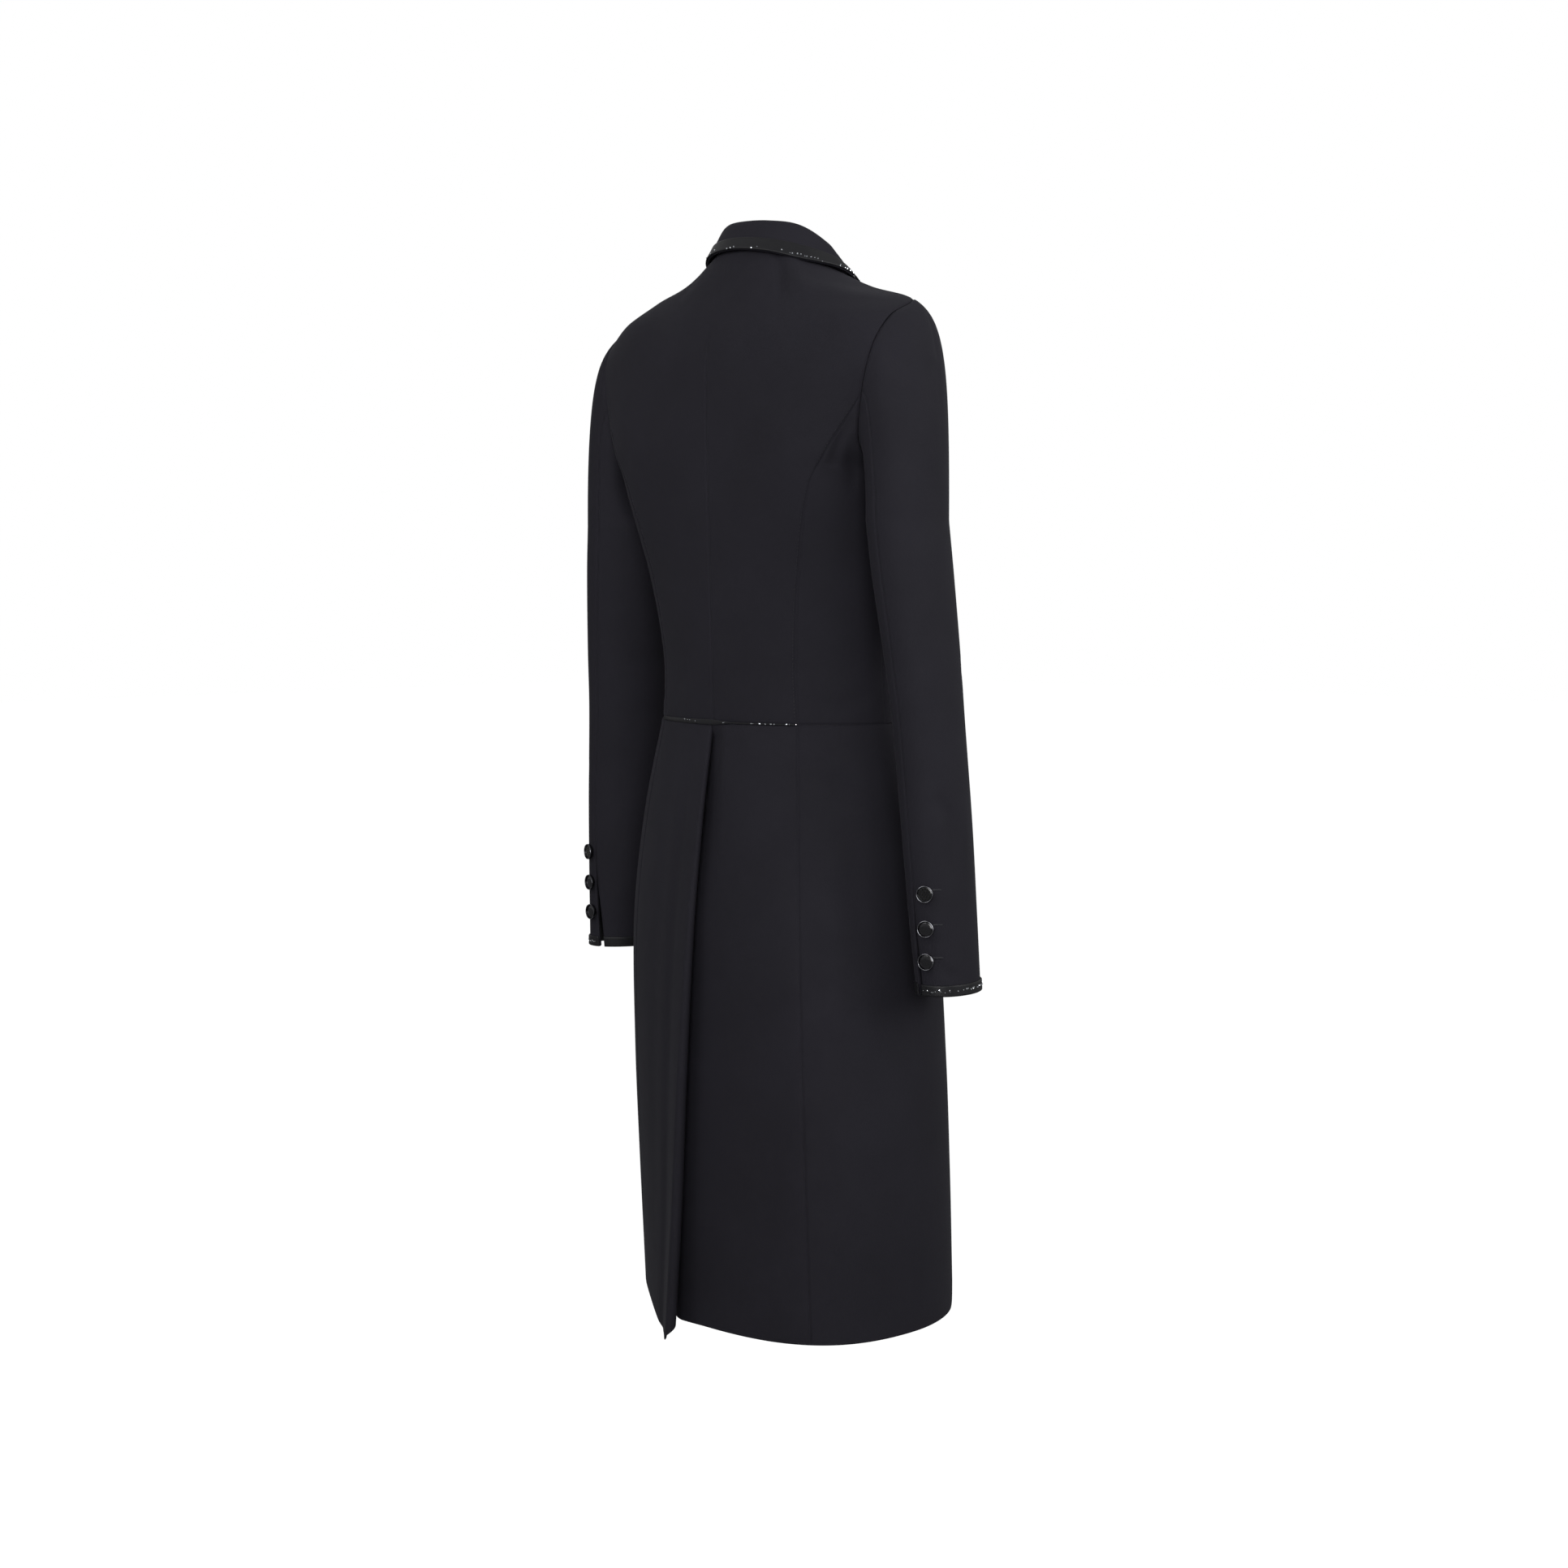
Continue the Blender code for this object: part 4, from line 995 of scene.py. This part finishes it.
def turn_in(bm, where, last, edges_of, gaps, tuck):
    """Turns sewn edges in, as their seam allowances are, so that no light shows between two panels."""
    for edge, kind in edges_of.items():
        if kind == "hem":
            continue
        axis, far = EDGE_SLOTS[edge]
        first, past = gaps.get(edge, (2, 2))
        on_edge = set()
        for vert, place in where.items():
            share = place[1 - axis] / last[1 - axis]
            if place[axis] == last[axis] * far and not first < share < past:
                on_edge.add(vert)
        sides = [line for line in bm.edges if line.is_boundary and set(line.verts) <= on_edge]
        made = bmesh.ops.extrude_edge_only(bm, edges=sides)["geom"]
        for vert in [item for item in made if isinstance(item, bmesh.types.BMVert)]:
            old = next(line.other_vert(vert) for line in vert.link_edges if line.other_vert(vert) in on_edge)
            where[vert] = where[old]
            vert.co = tuck(old) if edge == "high" and tuck else old.co - old.normal * ALLOWANCE * MM


def measured(points, columns, rows):
    """Distances in mm along every row and every column of a grid of points."""
    across = [[0.0] * rows for i in range(columns)]
    upward = [[0.0] * rows for i in range(columns)]
    for i in range(columns):
        for j in range(rows):
            if i:
                across[i][j] = across[i - 1][j] + (points[i, j] - points[i - 1, j]).length / MM
            if j:
                upward[i][j] = upward[i][j - 1] + (points[i, j] - points[i, j - 1]).length / MM
    return across, upward


def sew_panel(name, surface, side, edges_of, thickness=CLOTH, finish=None, grid=None, gaps=None, tuck=None,
              strength=None):
    """Cloth on a surface of (u, v). edges_of gives each edge as "seam" or "hem"; an edge left out stays flat.

    gaps names stretches of an edge that have no allowance, tuck places the upper one, and strength tells how
    strongly a seam shows at a height.
    """
    width = length_of(lambda u: surface(u, 0.5), 12)
    height = length_of(lambda v: surface(0.5, v), 12)
    us, vs = grid or (shares(width), shares(height))
    columns, rows = len(us), len(vs)
    bm = bmesh.new()
    bmesh.ops.create_grid(bm, x_segments=columns - 1, y_segments=rows - 1, size=1.0)
    where = {}
    for vert in bm.verts:
        where[vert] = (round((vert.co.x + 1) / 2 * (columns - 1)), round((vert.co.y + 1) / 2 * (rows - 1)))
    points = {(i, j): placed(surface(us[i], vs[j]), side) for i, j in where.values()}
    for vert, place in where.items():
        vert.co = points[place]
    if side == LEFT:
        bmesh.ops.reverse_faces(bm, faces=bm.faces)
    bm.normal_update()
    across, upward = measured(points, columns, rows)
    lines = [(crease, crease_line(crease, surface, side)) for crease in CREASES.get(name, ())]
    for vert, (i, j) in where.items():
        depth = 0.0
        for edge, kind in edges_of.items():
            axis, far = EDGE_SLOTS[edge]
            run = across[i][j] if axis == 0 else upward[i][j]
            total = across[-1][j] if axis == 0 else upward[i][-1]
            shown = strength(edge, vs[j]) if strength else 1.0
            depth = max(depth, sunk(total - run if far else run, kind) * shown)
        for crease, line in lines:
            depth += crease_depth(points[i, j] / MM, line, crease)
        vert.co = points[i, j] - vert.normal * depth * MM
    area = sum(face.calc_area() for face in bm.faces)
    turn_in(bm, where, (columns - 1, rows - 1), edges_of, gaps or {}, tuck)
    grain = bm.loops.layers.uv.new("grain")
    middle = columns // 2
    for face in bm.faces:
        for loop in face.loops:
            i, j = where[loop.vert]
            loop[grain].uv = ((across[i][j] - across[middle][j]) * MM, upward[middle][j] * MM)
    cut = (max(across[-1]) * MM, max(column[-1] for column in upward) * MM)
    piece = made_piece(name, bm, (finish or cloth, finish or lining), 60)
    solid = piece.modifiers.new("thickness", "SOLIDIFY")
    solid.thickness = thickness * MM
    solid.offset = -1
    solid.material_offset = 1
    return piece, cut, area

# %% [markdown]
# The bodice's back has a centre seam and two princess seams, the curved ones that shape it to the waist.
# Its fronts can't be seen from behind, so they are finished plainly: the right laps over the left.

# %% Bodice
panels = {}
OPEN_FRONT = all_round("seam", outer="hem", low="hem")     # edges of a panel that ends at the coat's opening


def sew(node, surface, side, edges_of, held, rests_on, **options):
    """Sews the panel that stands for a solid of the frame."""
    piece, cut, area = sew_panel(f"{node}_cloth", surface, side, edges_of, **options)
    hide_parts(node)
    panels[node] = (piece, cut, area, held, rests_on)


ARMHOLE_LOW, ARMHOLE_HIGH = UNDERARM / NECK, SHOULDER_TIP / NECK


def pressed_nape(edge, v):
    """The centre seam is pressed so flat above the shoulder blades that it hardly shows."""
    return 1 - 0.9 * smooth(v, 0.6, 0.7) if edge == "inner" else 1.0


for word, side in SIDES.items():
    sew(f"back_{word}", back_surface, side, all_round("seam"), "draped", [],
        gaps={"outer": (MID_ARMHOLE / NECK, ARMHOLE_HIGH)}, strength=pressed_nape)
    sew(f"side_back_{word}", side_back_surface, side, all_round("seam"), "draped", [f"back_{word}_cloth"],
        gaps={"outer": (UNDERARM / MID_ARMHOLE, 1.1), "high": (-1, 2)})
    sew(f"front_{word}", front_surface(side), side, OPEN_FRONT, "draped", [f"back_{word}_cloth"],
        gaps={"inner": (ARMHOLE_LOW, ARMHOLE_HIGH)})
    lapel_edges = {"inner": "hem", "low": "hem", "high": "hem"}
    sew(f"lapel_{word}", lapel_surface(word, side), side, lapel_edges, "folded", [f"front_{word}_cloth"],
        thickness=LAPEL_CLOTH)
print("bodice sewn:", len(panels), "panels")

# %% [markdown]
# The collar has two leaves. The stand goes up round the neck, and the fall turns over it and down. On the
# real coat they are joined just inside the roll, so here the fall goes on over the roll and meets the stand
# there.

# %% Collar
sew("collar_stand", stand_surface, LEFT, {"inner": "hem", "outer": "hem", "low": "seam"}, "stretched",
    ["back_left_cloth", "back_right_cloth"])
sew("collar_fall", fall_surface, LEFT, all_round("hem", high="seam"), "folded", ["collar_stand_cloth"])

# %% [markdown]
# Each tail is two panels, joined by a seam that carries on the princess seam. The left tail's inner edge is
# a soft rolled fold over the right one, so its grid needs close lines round the roll, where the curve is
# tight.

# %% Tails
ROLL_LINES, RETURN_LINES = 12, 5
TAIL_LENGTH, TAIL_BACK_WIDTH = 540.0, 115.0     # mm, about


def rolled_shares():
    """Grid lines across the left tail's back: the return, the tight roll and then the panel."""
    starts, ends = ROLL_STARTS / LEFT_COLUMNS, ROLL_ENDS / LEFT_COLUMNS
    turned_in = [mix(0, starts, k / RETURN_LINES) for k in range(RETURN_LINES)]
    roll = [mix(starts, ends, k / ROLL_LINES) for k in range(ROLL_LINES)]
    flat = [mix(ends, 1, share) for share in shares(TAIL_BACK_WIDTH)]
    return turned_in + roll + flat


def seam_share(side):
    return lambda level: tails[side].read(level, "seam")


def tail_cut(side):
    """The surfaces of one tail's back and side panels."""
    flank = tail_surface(side, seam_share(side), lambda level: TAIL_FRONT)
    if side == RIGHT:
        return underlapped_surface, flank
    return rolled_surface(tail_surface(side, lambda level: 0.0, seam_share(side))), flank


for word, side in SIDES.items():
    back, flank = tail_cut(side)
    lines = (rolled_shares(), shares(TAIL_LENGTH)) if side == LEFT else None
    sew(f"tail_back_{word}", back, side, all_round("seam", inner="hem", low="hem"), "hung",
        [f"back_{word}_cloth"], grid=lines)
    sew(f"tail_side_{word}", flank, side, OPEN_FRONT, "hung", [f"side_back_{word}_cloth"])

# %% [markdown]
# A sleeve is cut in two pieces, so that it can bend with the arm. The seam behind the arm ends in a vent at
# the cuff, which hangs a little open.

# %% Sleeves
TUCK_ALONG, TUCK_DOWN = 5.0, 3.0    # how far the cap's allowance goes in past the armhole, and under its edge
ARMHOLE_MIDDLE = sum((armhole_point(angle) for angle in range(-90, 270, 30)), Vector()) / 12


def cap_tuck(side):
    """Takes the top of a sleeve in under the edge of the armhole."""
    middle = placed(ARMHOLE_MIDDLE, side)

    def move(vert):
        down = (middle - vert.co).normalized() * TUCK_DOWN * MM
        return vert.co + down - Vector((side * TUCK_ALONG * MM, 0, 0))
    return move


for word, side in SIDES.items():
    hangs_from = [f"back_{word}_cloth", f"front_{word}_cloth"]
    for part, surface in (("top", sleeve_top_surface(side)), ("under", sleeve_under_surface(side))):
        sew(f"sleeve_{part}_{word}", surface, side, all_round("seam", low="hem"), "hung", hangs_from,
            tuck=cap_tuck(side))
print("all panels:", len(panels))

# %% [markdown]
# Inside the coat, a narrow tape binds each armhole and another holds the waist seam, so that they can't
# stretch. They can only be seen through the neck and the hem, and they also keep light from shining through
# the seams.

# %% Bindings inside
TAPE_WIDTH, TAPE_DEPTH, TAPE_THICK = 13.0, 3.4, 0.8


def armhole_tape(u, v):
    """A ring just inside the armhole's edge; v runs from the body out into the sleeve."""
    edge = armhole_point(mix(-90, 270, u % 1.0))
    inward = (ARMHOLE_MIDDLE - edge).normalized() * TAPE_DEPTH
    return edge + inward + Vector(((v - 0.6) * TAPE_WIDTH, 0, 0))


def waist_tape(u, v):
    """A band inside the waist seam, as long as the tails' own waist."""
    reach = abs(2 * u - 1) * (TAIL_FRONT - 0.02)
    point = tail_point(RIGHT, reach, 0)
    inward = Vector((-point.x, -point.y, 0)).normalized() * TAPE_DEPTH
    point += inward + Vector((0, 0, (v - 0.5) * TAPE_WIDTH))
    point.x *= 1 if u > 0.5 else -1
    return point


def bind(name, surface, side, carrier):
    """Sews a tape of lining satin inside a panel."""
    tape = sew_panel(name, surface, side, {}, thickness=TAPE_THICK, finish=lining)[0]
    attach(tape, carrier)


for word, side in SIDES.items():
    bind(f"armhole_binding_{word}", armhole_tape, side, f"back_{word}")
bind("waist_binding", waist_tape, LEFT, "back_left")

# %% [markdown]
# Narrow strips of coated satin edge the collar and the cuffs, and a piping of it is caught in the waist
# seam across the back. They are the same function's work, on surfaces moved out from the cloth that carries
# them.

# %% Trims
def lay_trim(node, carrier, surface, side, edges_of):
    """Sews a satin strip to a panel, in place of its solid."""
    trim = sew_panel(f"{node}_satin", surface, side, edges_of, thickness=TRIM, finish=trim_satin)[0]
    attach(trim, carrier, node)


lay_trim("collar_trim", "collar_fall", laid(collar_strip), LEFT, all_round("hem"))
lay_trim("waist_piping", "back_left", piping_strip, LEFT, {})
for word, side in SIDES.items():
    lay_trim(f"cuff_trim_{word}", f"sleeve_top_{word}", laid(cuff_strip(side)), side, all_round("hem"))

# %% [markdown]
# A button is turned, so its section is spun round its axis. The rim is plated metal and the dome inside it
# is enamel. The uppermost cuff button is set with small stones instead.

# %% Buttons
RIM_PROFILE = ((0.87, 0.50), (0.87, 0.90), (0.89, 0.98), (0.92, 1.0), (0.96, 0.97), (0.99, 0.84),
               (1.0, 0.62), (0.97, 0.38), (0.88, 0.16), (0.5, 0.0), (0.0, 0.0))
DOME_PROFILE = ((0.0, 0.76), (0.25, 0.755), (0.45, 0.74), (0.62, 0.71), (0.74, 0.66), (0.82, 0.58),
                (0.85, 0.42), (0.0, 0.40))
SPIN_STEPS = 40
FLAT_SET = 0.62         # how high the stones of a set button lie, as a share of its depth
SET_RINGS, SET_PITCH, SET_RADIUS = 3, 2.3, 0.85     # rings of stones, mm between them and a stone's radius
CROWN_TABLE, CROWN_DEPTH = 0.55, 0.9    # a stone's flat top and its depth, as shares of its radius


def standing(place, up):
    """Takes a thing made upright at the origin to its place and turns its top to a direction."""
    return Matrix.Translation(place) @ up.to_track_quat("Z", "Y").to_matrix().to_4x4()


def spun(bm, profile, material_index, flatten=None):
    """Spins a profile, given in shares of the button's radius and depth."""
    corners = []
    for r, z in profile:
        height = min(z, flatten) if flatten else z
        corners.append(bm.verts.new((r * BUTTON_RADIUS * MM, 0, height * BUTTON_DEPTH * MM)))
    lines = [bm.edges.new(pair) for pair in zip(corners, corners[1:])]
    before = set(bm.faces)
    bmesh.ops.spin(bm, geom=corners + lines, cent=(0, 0, 0), axis=(0, 0, 1), angle=2 * math.pi,
                   steps=SPIN_STEPS, use_merge=True)
    bmesh.ops.remove_doubles(bm, verts=bm.verts, dist=0.02 * MM)
    for face in set(bm.faces) - before:
        face.material_index = material_index


def stone(bm, place, away, radius, material_index=0):
    """One cut stone: an eight-sided crown with a flat table, sitting on the cloth."""
    made = bmesh.ops.create_cone(bm, cap_ends=True, segments=8, radius1=radius * MM,
                                 radius2=radius * CROWN_TABLE * MM, depth=radius * CROWN_DEPTH * MM)
    up = Matrix.Translation((0, 0, radius * CROWN_DEPTH / 2 * MM))
    bmesh.ops.transform(bm, matrix=standing(place, away) @ up, verts=made["verts"])
    for face in {face for vert in made["verts"] for face in vert.link_faces}:
        face.material_index = material_index


def turn_button(node, carrier, place, away, stones):
    """A button on the cloth, with its face turned away from it."""
    bm = bmesh.new()
    spun(bm, RIM_PROFILE, 0)
    spun(bm, DOME_PROFILE, 1, FLAT_SET if stones else None)
    bmesh.ops.recalc_face_normals(bm, faces=bm.faces)
    if stones:
        for ring in range(SET_RINGS):
            for k in range(6 * ring or 1):
                angle = 2 * math.pi * k / (6 * ring or 1)
                spot = Vector((math.cos(angle), math.sin(angle), 0)) * ring * SET_PITCH * MM
                spot.z = FLAT_SET * BUTTON_DEPTH * MM
                stone(bm, spot, Vector((0, 0, 1)), SET_RADIUS, 2)
    bmesh.ops.transform(bm, matrix=standing(place, away), verts=bm.verts)
    bmesh.ops.recalc_face_normals(bm, faces=bm.faces)
    attach(made_piece(f"{node}_turned", bm, (gunmetal, enamel, smoked_glass), 30), carrier, node)


for word, side in SIDES.items():
    for number, (z, angle, gap) in enumerate(CUFF_BUTTONS[word], 1):
        along = ring_point(angle + 2, z) - ring_point(angle - 2, z)
        away = Vector((0, 0, 1)).cross(along).normalized()
        place = placed(ring_point(angle, z) + away * gap, side)
        turn_button(f"cuff_button_{word}_{number}", f"sleeve_top_{word}", place, away * Vector((side, 1, 1)),
                    number == 1)
for number in (1, 2, 3):
    low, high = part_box(f"front_button_{number}")
    place = Vector(((low[0] + high[0]) / 2, high[1], (low[2] + high[2]) / 2))
    turn_button(f"front_button_{number}", "front_right", place, Vector((0, -1, 0)), False)
print("trims and buttons are on", len(sewn_on), "panels")

# %% [markdown]
# The princess seams are topstitched: a row of short stitches lies three millimetres from the seam on the
# back panel, and holds its allowance flat. Each stitch is a small rounded grain of thread, pressed into the
# cloth.

# %% Topstitching
STITCH_PITCH, STITCH_LENGTH, STITCH_THICK = 3.1, 2.2, 0.42
STITCH_OFFSET = 3.0
STITCH_STANDS_OUT = 0.12
ROW_STEPS = 240         # steps in which a row's length is measured


def topstitch(name, carrier, surface, side, from_v, to_v):
    """A row of stitches beside the outer edge of a panel."""
    bm = bmesh.new()
    size = Matrix.Diagonal((STITCH_THICK, STITCH_THICK * 0.8, STITCH_LENGTH, 1))
    run = -STITCH_PITCH / 2
    previous = None
    for k in range(ROW_STEPS + 1):
        v = mix(from_v, to_v, k / ROW_STEPS)
        width = length_of(lambda u: surface(u, v), 6)
        u = 1 - STITCH_OFFSET / max(width, 4 * STITCH_OFFSET)
        place = surface(u, v)
        if previous is not None:
            run += (place - previous).length
        if run >= 0 and previous is not None:
            run -= STITCH_PITCH
            centre = placed(place + outward(surface, u, v) * STITCH_STANDS_OUT, side)
            along = placed(place, side) - placed(previous, side)
            grain = bmesh.ops.create_icosphere(bm, subdivisions=1, radius=0.5 * MM)["verts"]
            bmesh.ops.transform(bm, matrix=standing(centre, along) @ size, verts=grain)
        previous = place
    print(name, "stitches:", len(bm.verts) // 12)
    bmesh.ops.recalc_face_normals(bm, faces=bm.faces)
    attach(made_piece(name, bm, (thread,), 80), carrier)


for word, side in SIDES.items():
    topstitch(f"princess_stitches_{word}", f"back_{word}", back_surface, side, 0.01, 0.485)

# %% [markdown]
# A worked buttonhole is a slit closed in by dense thread. The cuff's are for show and never cut open, so
# each is a low bar of thread that comes out from under its button.

# %% Buttonholes
HOLE_LENGTH, HOLE_WIDTH, HOLE_HEIGHT = 13.0, 1.5, 0.45
HOLE_RISE = 3.4         # how far above the button's middle it lies


def work_buttonhole(name, carrier, z, angle, side):
    """A low bar of thread beside the button at a height and an angle of the sleeve."""
    bm = bmesh.new()
    bmesh.ops.create_grid(bm, x_segments=16, y_segments=6, size=1.0)
    radius = (ring_point(angle + 20, z) - ring_point(angle, z)).length / math.radians(20)
    span = math.degrees(HOLE_LENGTH / radius)
    for vert in bm.verts:
        share, across = (vert.co.x + 1) / 2, vert.co.y
        end = math.sqrt(max(1 - (2 * share - 1) ** 8, 0.0))
        at = angle + 2 + share * span
        height = z + HOLE_RISE + across * end * HOLE_WIDTH / 2
        along = ring_point(at + 1, height) - ring_point(at - 1, height)
        away = Vector((0, 0, 1)).cross(along).normalized()
        lift = HOLE_HEIGHT * math.sqrt(max(1 - across**2, 0.0)) * end - 0.1
        vert.co = placed(ring_point(at, height) + away * lift, side)
    grain = bm.loops.layers.uv.new("grain")
    for face in bm.faces:
        for loop in face.loops:
            loop[grain].uv = (loop.vert.co.z, loop.vert.co.y)
    if side == LEFT:
        bmesh.ops.reverse_faces(bm, faces=bm.faces)
    attach(made_piece(name, bm, (thread,), 180), carrier)


for word, side in SIDES.items():
    for number, button in enumerate(CUFF_BUTTONS[word], 1):
        work_buttonhole(f"buttonhole_{word}_{number}", f"sleeve_top_{word}", button.z, button.angle, side)

# %% [markdown]
# Small cut stones are scattered on the satin, thickly in some places and thinly in others. Each is an
# eight-sided crown with a flat table, backed with foil so that it throws light back like metal. The
# collar's and the piping's clusters are listed, and a seeded shuffle fills in the rest.

# %% Stones on the trims
STONE_RADIUS = 0.72
COLLAR_STONES = (0.556, 0.545, 0.504, 0.496, 0.488, 0.452, 0.441, 0.397, 0.383, 0.379, 0.370, 0.364, 0.357,
                 0.353, 0.343, 0.336, 0.329, 0.321)
PIPING_STONES = (0.70, 0.675, 0.655, 0.61, 0.425, 0.418, 0.26, 0.252, 0.217, 0.21, 0.18, 0.15, 0.145, 0.13,
                 0.066, 0.06, 0.045, 0.008)
shuffle = random.Random(11)


def scatter(name, carrier, surface, side, shares_along, height, radius):
    """Stones on a strip, each at a share of its length and near a share of its height."""
    bm = bmesh.new()
    for u in shares_along:
        v = height + shuffle.uniform(-0.12, 0.12)
        away = outward(surface, u, v)
        place = placed(surface(u, v) + away * 0.05, side)
        away.x *= side
        tilt = Vector([shuffle.uniform(-0.25, 0.25) for axis in range(3)])
        stone(bm, place, (away + tilt).normalized(), radius * shuffle.uniform(0.6, 1.25))
    print(name, "stones:", len(shares_along))
    bmesh.ops.recalc_face_normals(bm, faces=bm.faces)
    attach(made_piece(name, bm, (cut_glass,), 20), carrier)


def uneven(first, last, count):
    """Shares between two ends that stand in loose clusters."""
    spots = []
    for k in range(count):
        base = mix(first, last, (k + 0.5) / count)
        spots.append(base + shuffle.uniform(-0.6, 0.6) * (last - first) / count)
    return [spot for spot in spots if shuffle.random() > 0.25]


spots = list(COLLAR_STONES) + uneven(0.02, 0.31, 26) + uneven(0.57, 0.98, 34)
scatter("collar_stones", "collar_fall", laid(collar_strip), LEFT, spots, 0.15, STONE_RADIUS)
scatter("piping_stones", "back_left", piping_strip, LEFT, PIPING_STONES, 0.6, STONE_RADIUS * 0.85)
for word, side in SIDES.items():
    scatter(f"cuff_stones_{word}", f"sleeve_top_{word}", laid(cuff_strip(side)), side, uneven(0.01, 0.5, 48),
            0.5, STONE_RADIUS * 0.8)

# %% [markdown]
# Every panel gets a list, empty or not, of the strips and buttons that are sewn to it.

for node, (piece, cut, area, held, rests_on) in panels.items():
    sewn_on[node]

# %% [markdown]
# The photograph was taken for a catalogue: an even, soft light on a white ground. Large area lights give
# it, since a large light has soft shadows: one by the camera and one on each side of it. Two of them have a
# grid in front, which keeps their light on the coat, and the cloth is so dark that it needs more light than
# the ground.

# %% Floor and light
FLOOR_Z, FLOOR_REACH = -1.45, 20.0      # metres: the neck of a standing wearer is about that high
SURROUND_SEEN, SURROUND_LIGHT = 1.0, 0.48   # strength of the white surround to the camera, and as light
FLOOR_GLOW = 0.86       # added to the floor that the camera sees, so that it is as white as the surround
LIT = Vector((0, 0, -0.25))     # the soft boxes point at the back, so the tails are a little darker


def plain_floor():
    bm = bmesh.new()
    bmesh.ops.create_grid(bm, x_segments=1, y_segments=1, size=FLOOR_REACH)
    bmesh.ops.translate(bm, vec=(0, 0, FLOOR_Z), verts=bm.verts)
    paper, tree, shader = new_material("white paper ground", Base_Color=linear("909090"), Roughness=0.9,
                                       Emission_Color=(1, 1, 1, 1))
    seen = add_node(tree, "ShaderNodeLightPath").outputs["Is Camera Ray"]
    tree.links.new(maths(tree, "MULTIPLY", seen, FLOOR_GLOW), shader.inputs["Emission Strength"])
    made_object("floor", bm, paper)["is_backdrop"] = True


def soft_box(name, azimuth, elevation, distance, size, power, spread):
    """A large area light. A spread under 180 degrees stands for the honeycomb grid in front of it."""
    light = bpy.data.objects.new(name, bpy.data.lights.new(name, "AREA"))
    light.data.shape = "RECTANGLE"
    light.data.size, light.data.size_y = size
    light.data.energy = power
    light.data.spread = math.radians(spread)
    stand_off(light, azimuth, elevation, distance, LIT)


def white_world():
    """A surround that looks fully white but lights the coat at half strength, so that its form shows."""
    world = bpy.data.worlds.new("white surround")
    world.use_nodes = True
    tree = world.node_tree
    seen = add_node(tree, "ShaderNodeLightPath").outputs["Is Camera Ray"]
    strength = add_node(tree, "ShaderNodeMapRange", Value=seen, To_Min=SURROUND_LIGHT, To_Max=SURROUND_SEEN)
    tree.nodes["Background"].inputs["Color"].default_value = (1, 1, 1, 1)
    tree.links.new(strength.outputs[0], tree.nodes["Background"].inputs["Strength"])
    bpy.context.scene.world = world


plain_floor()
white_world()
# Azimuth and elevation in degrees, distance and size in metres, power in watts, spread in degrees
soft_box("front light", 224, 7, 2.7, (1.5, 1.5), 10.0, 64)
soft_box("left light", 176, 30, 2.1, (1.3, 1.3), 18, 180)
soft_box("right light", 294, 18, 2.2, (1.2, 1.6), 6.0, 64)

# Colours are shown as they are, without a film curve, so that the ground stays white and the cloth black
bpy.context.scene.view_settings.view_transform = "Standard"

# %% Bounds of the scene
low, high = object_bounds()
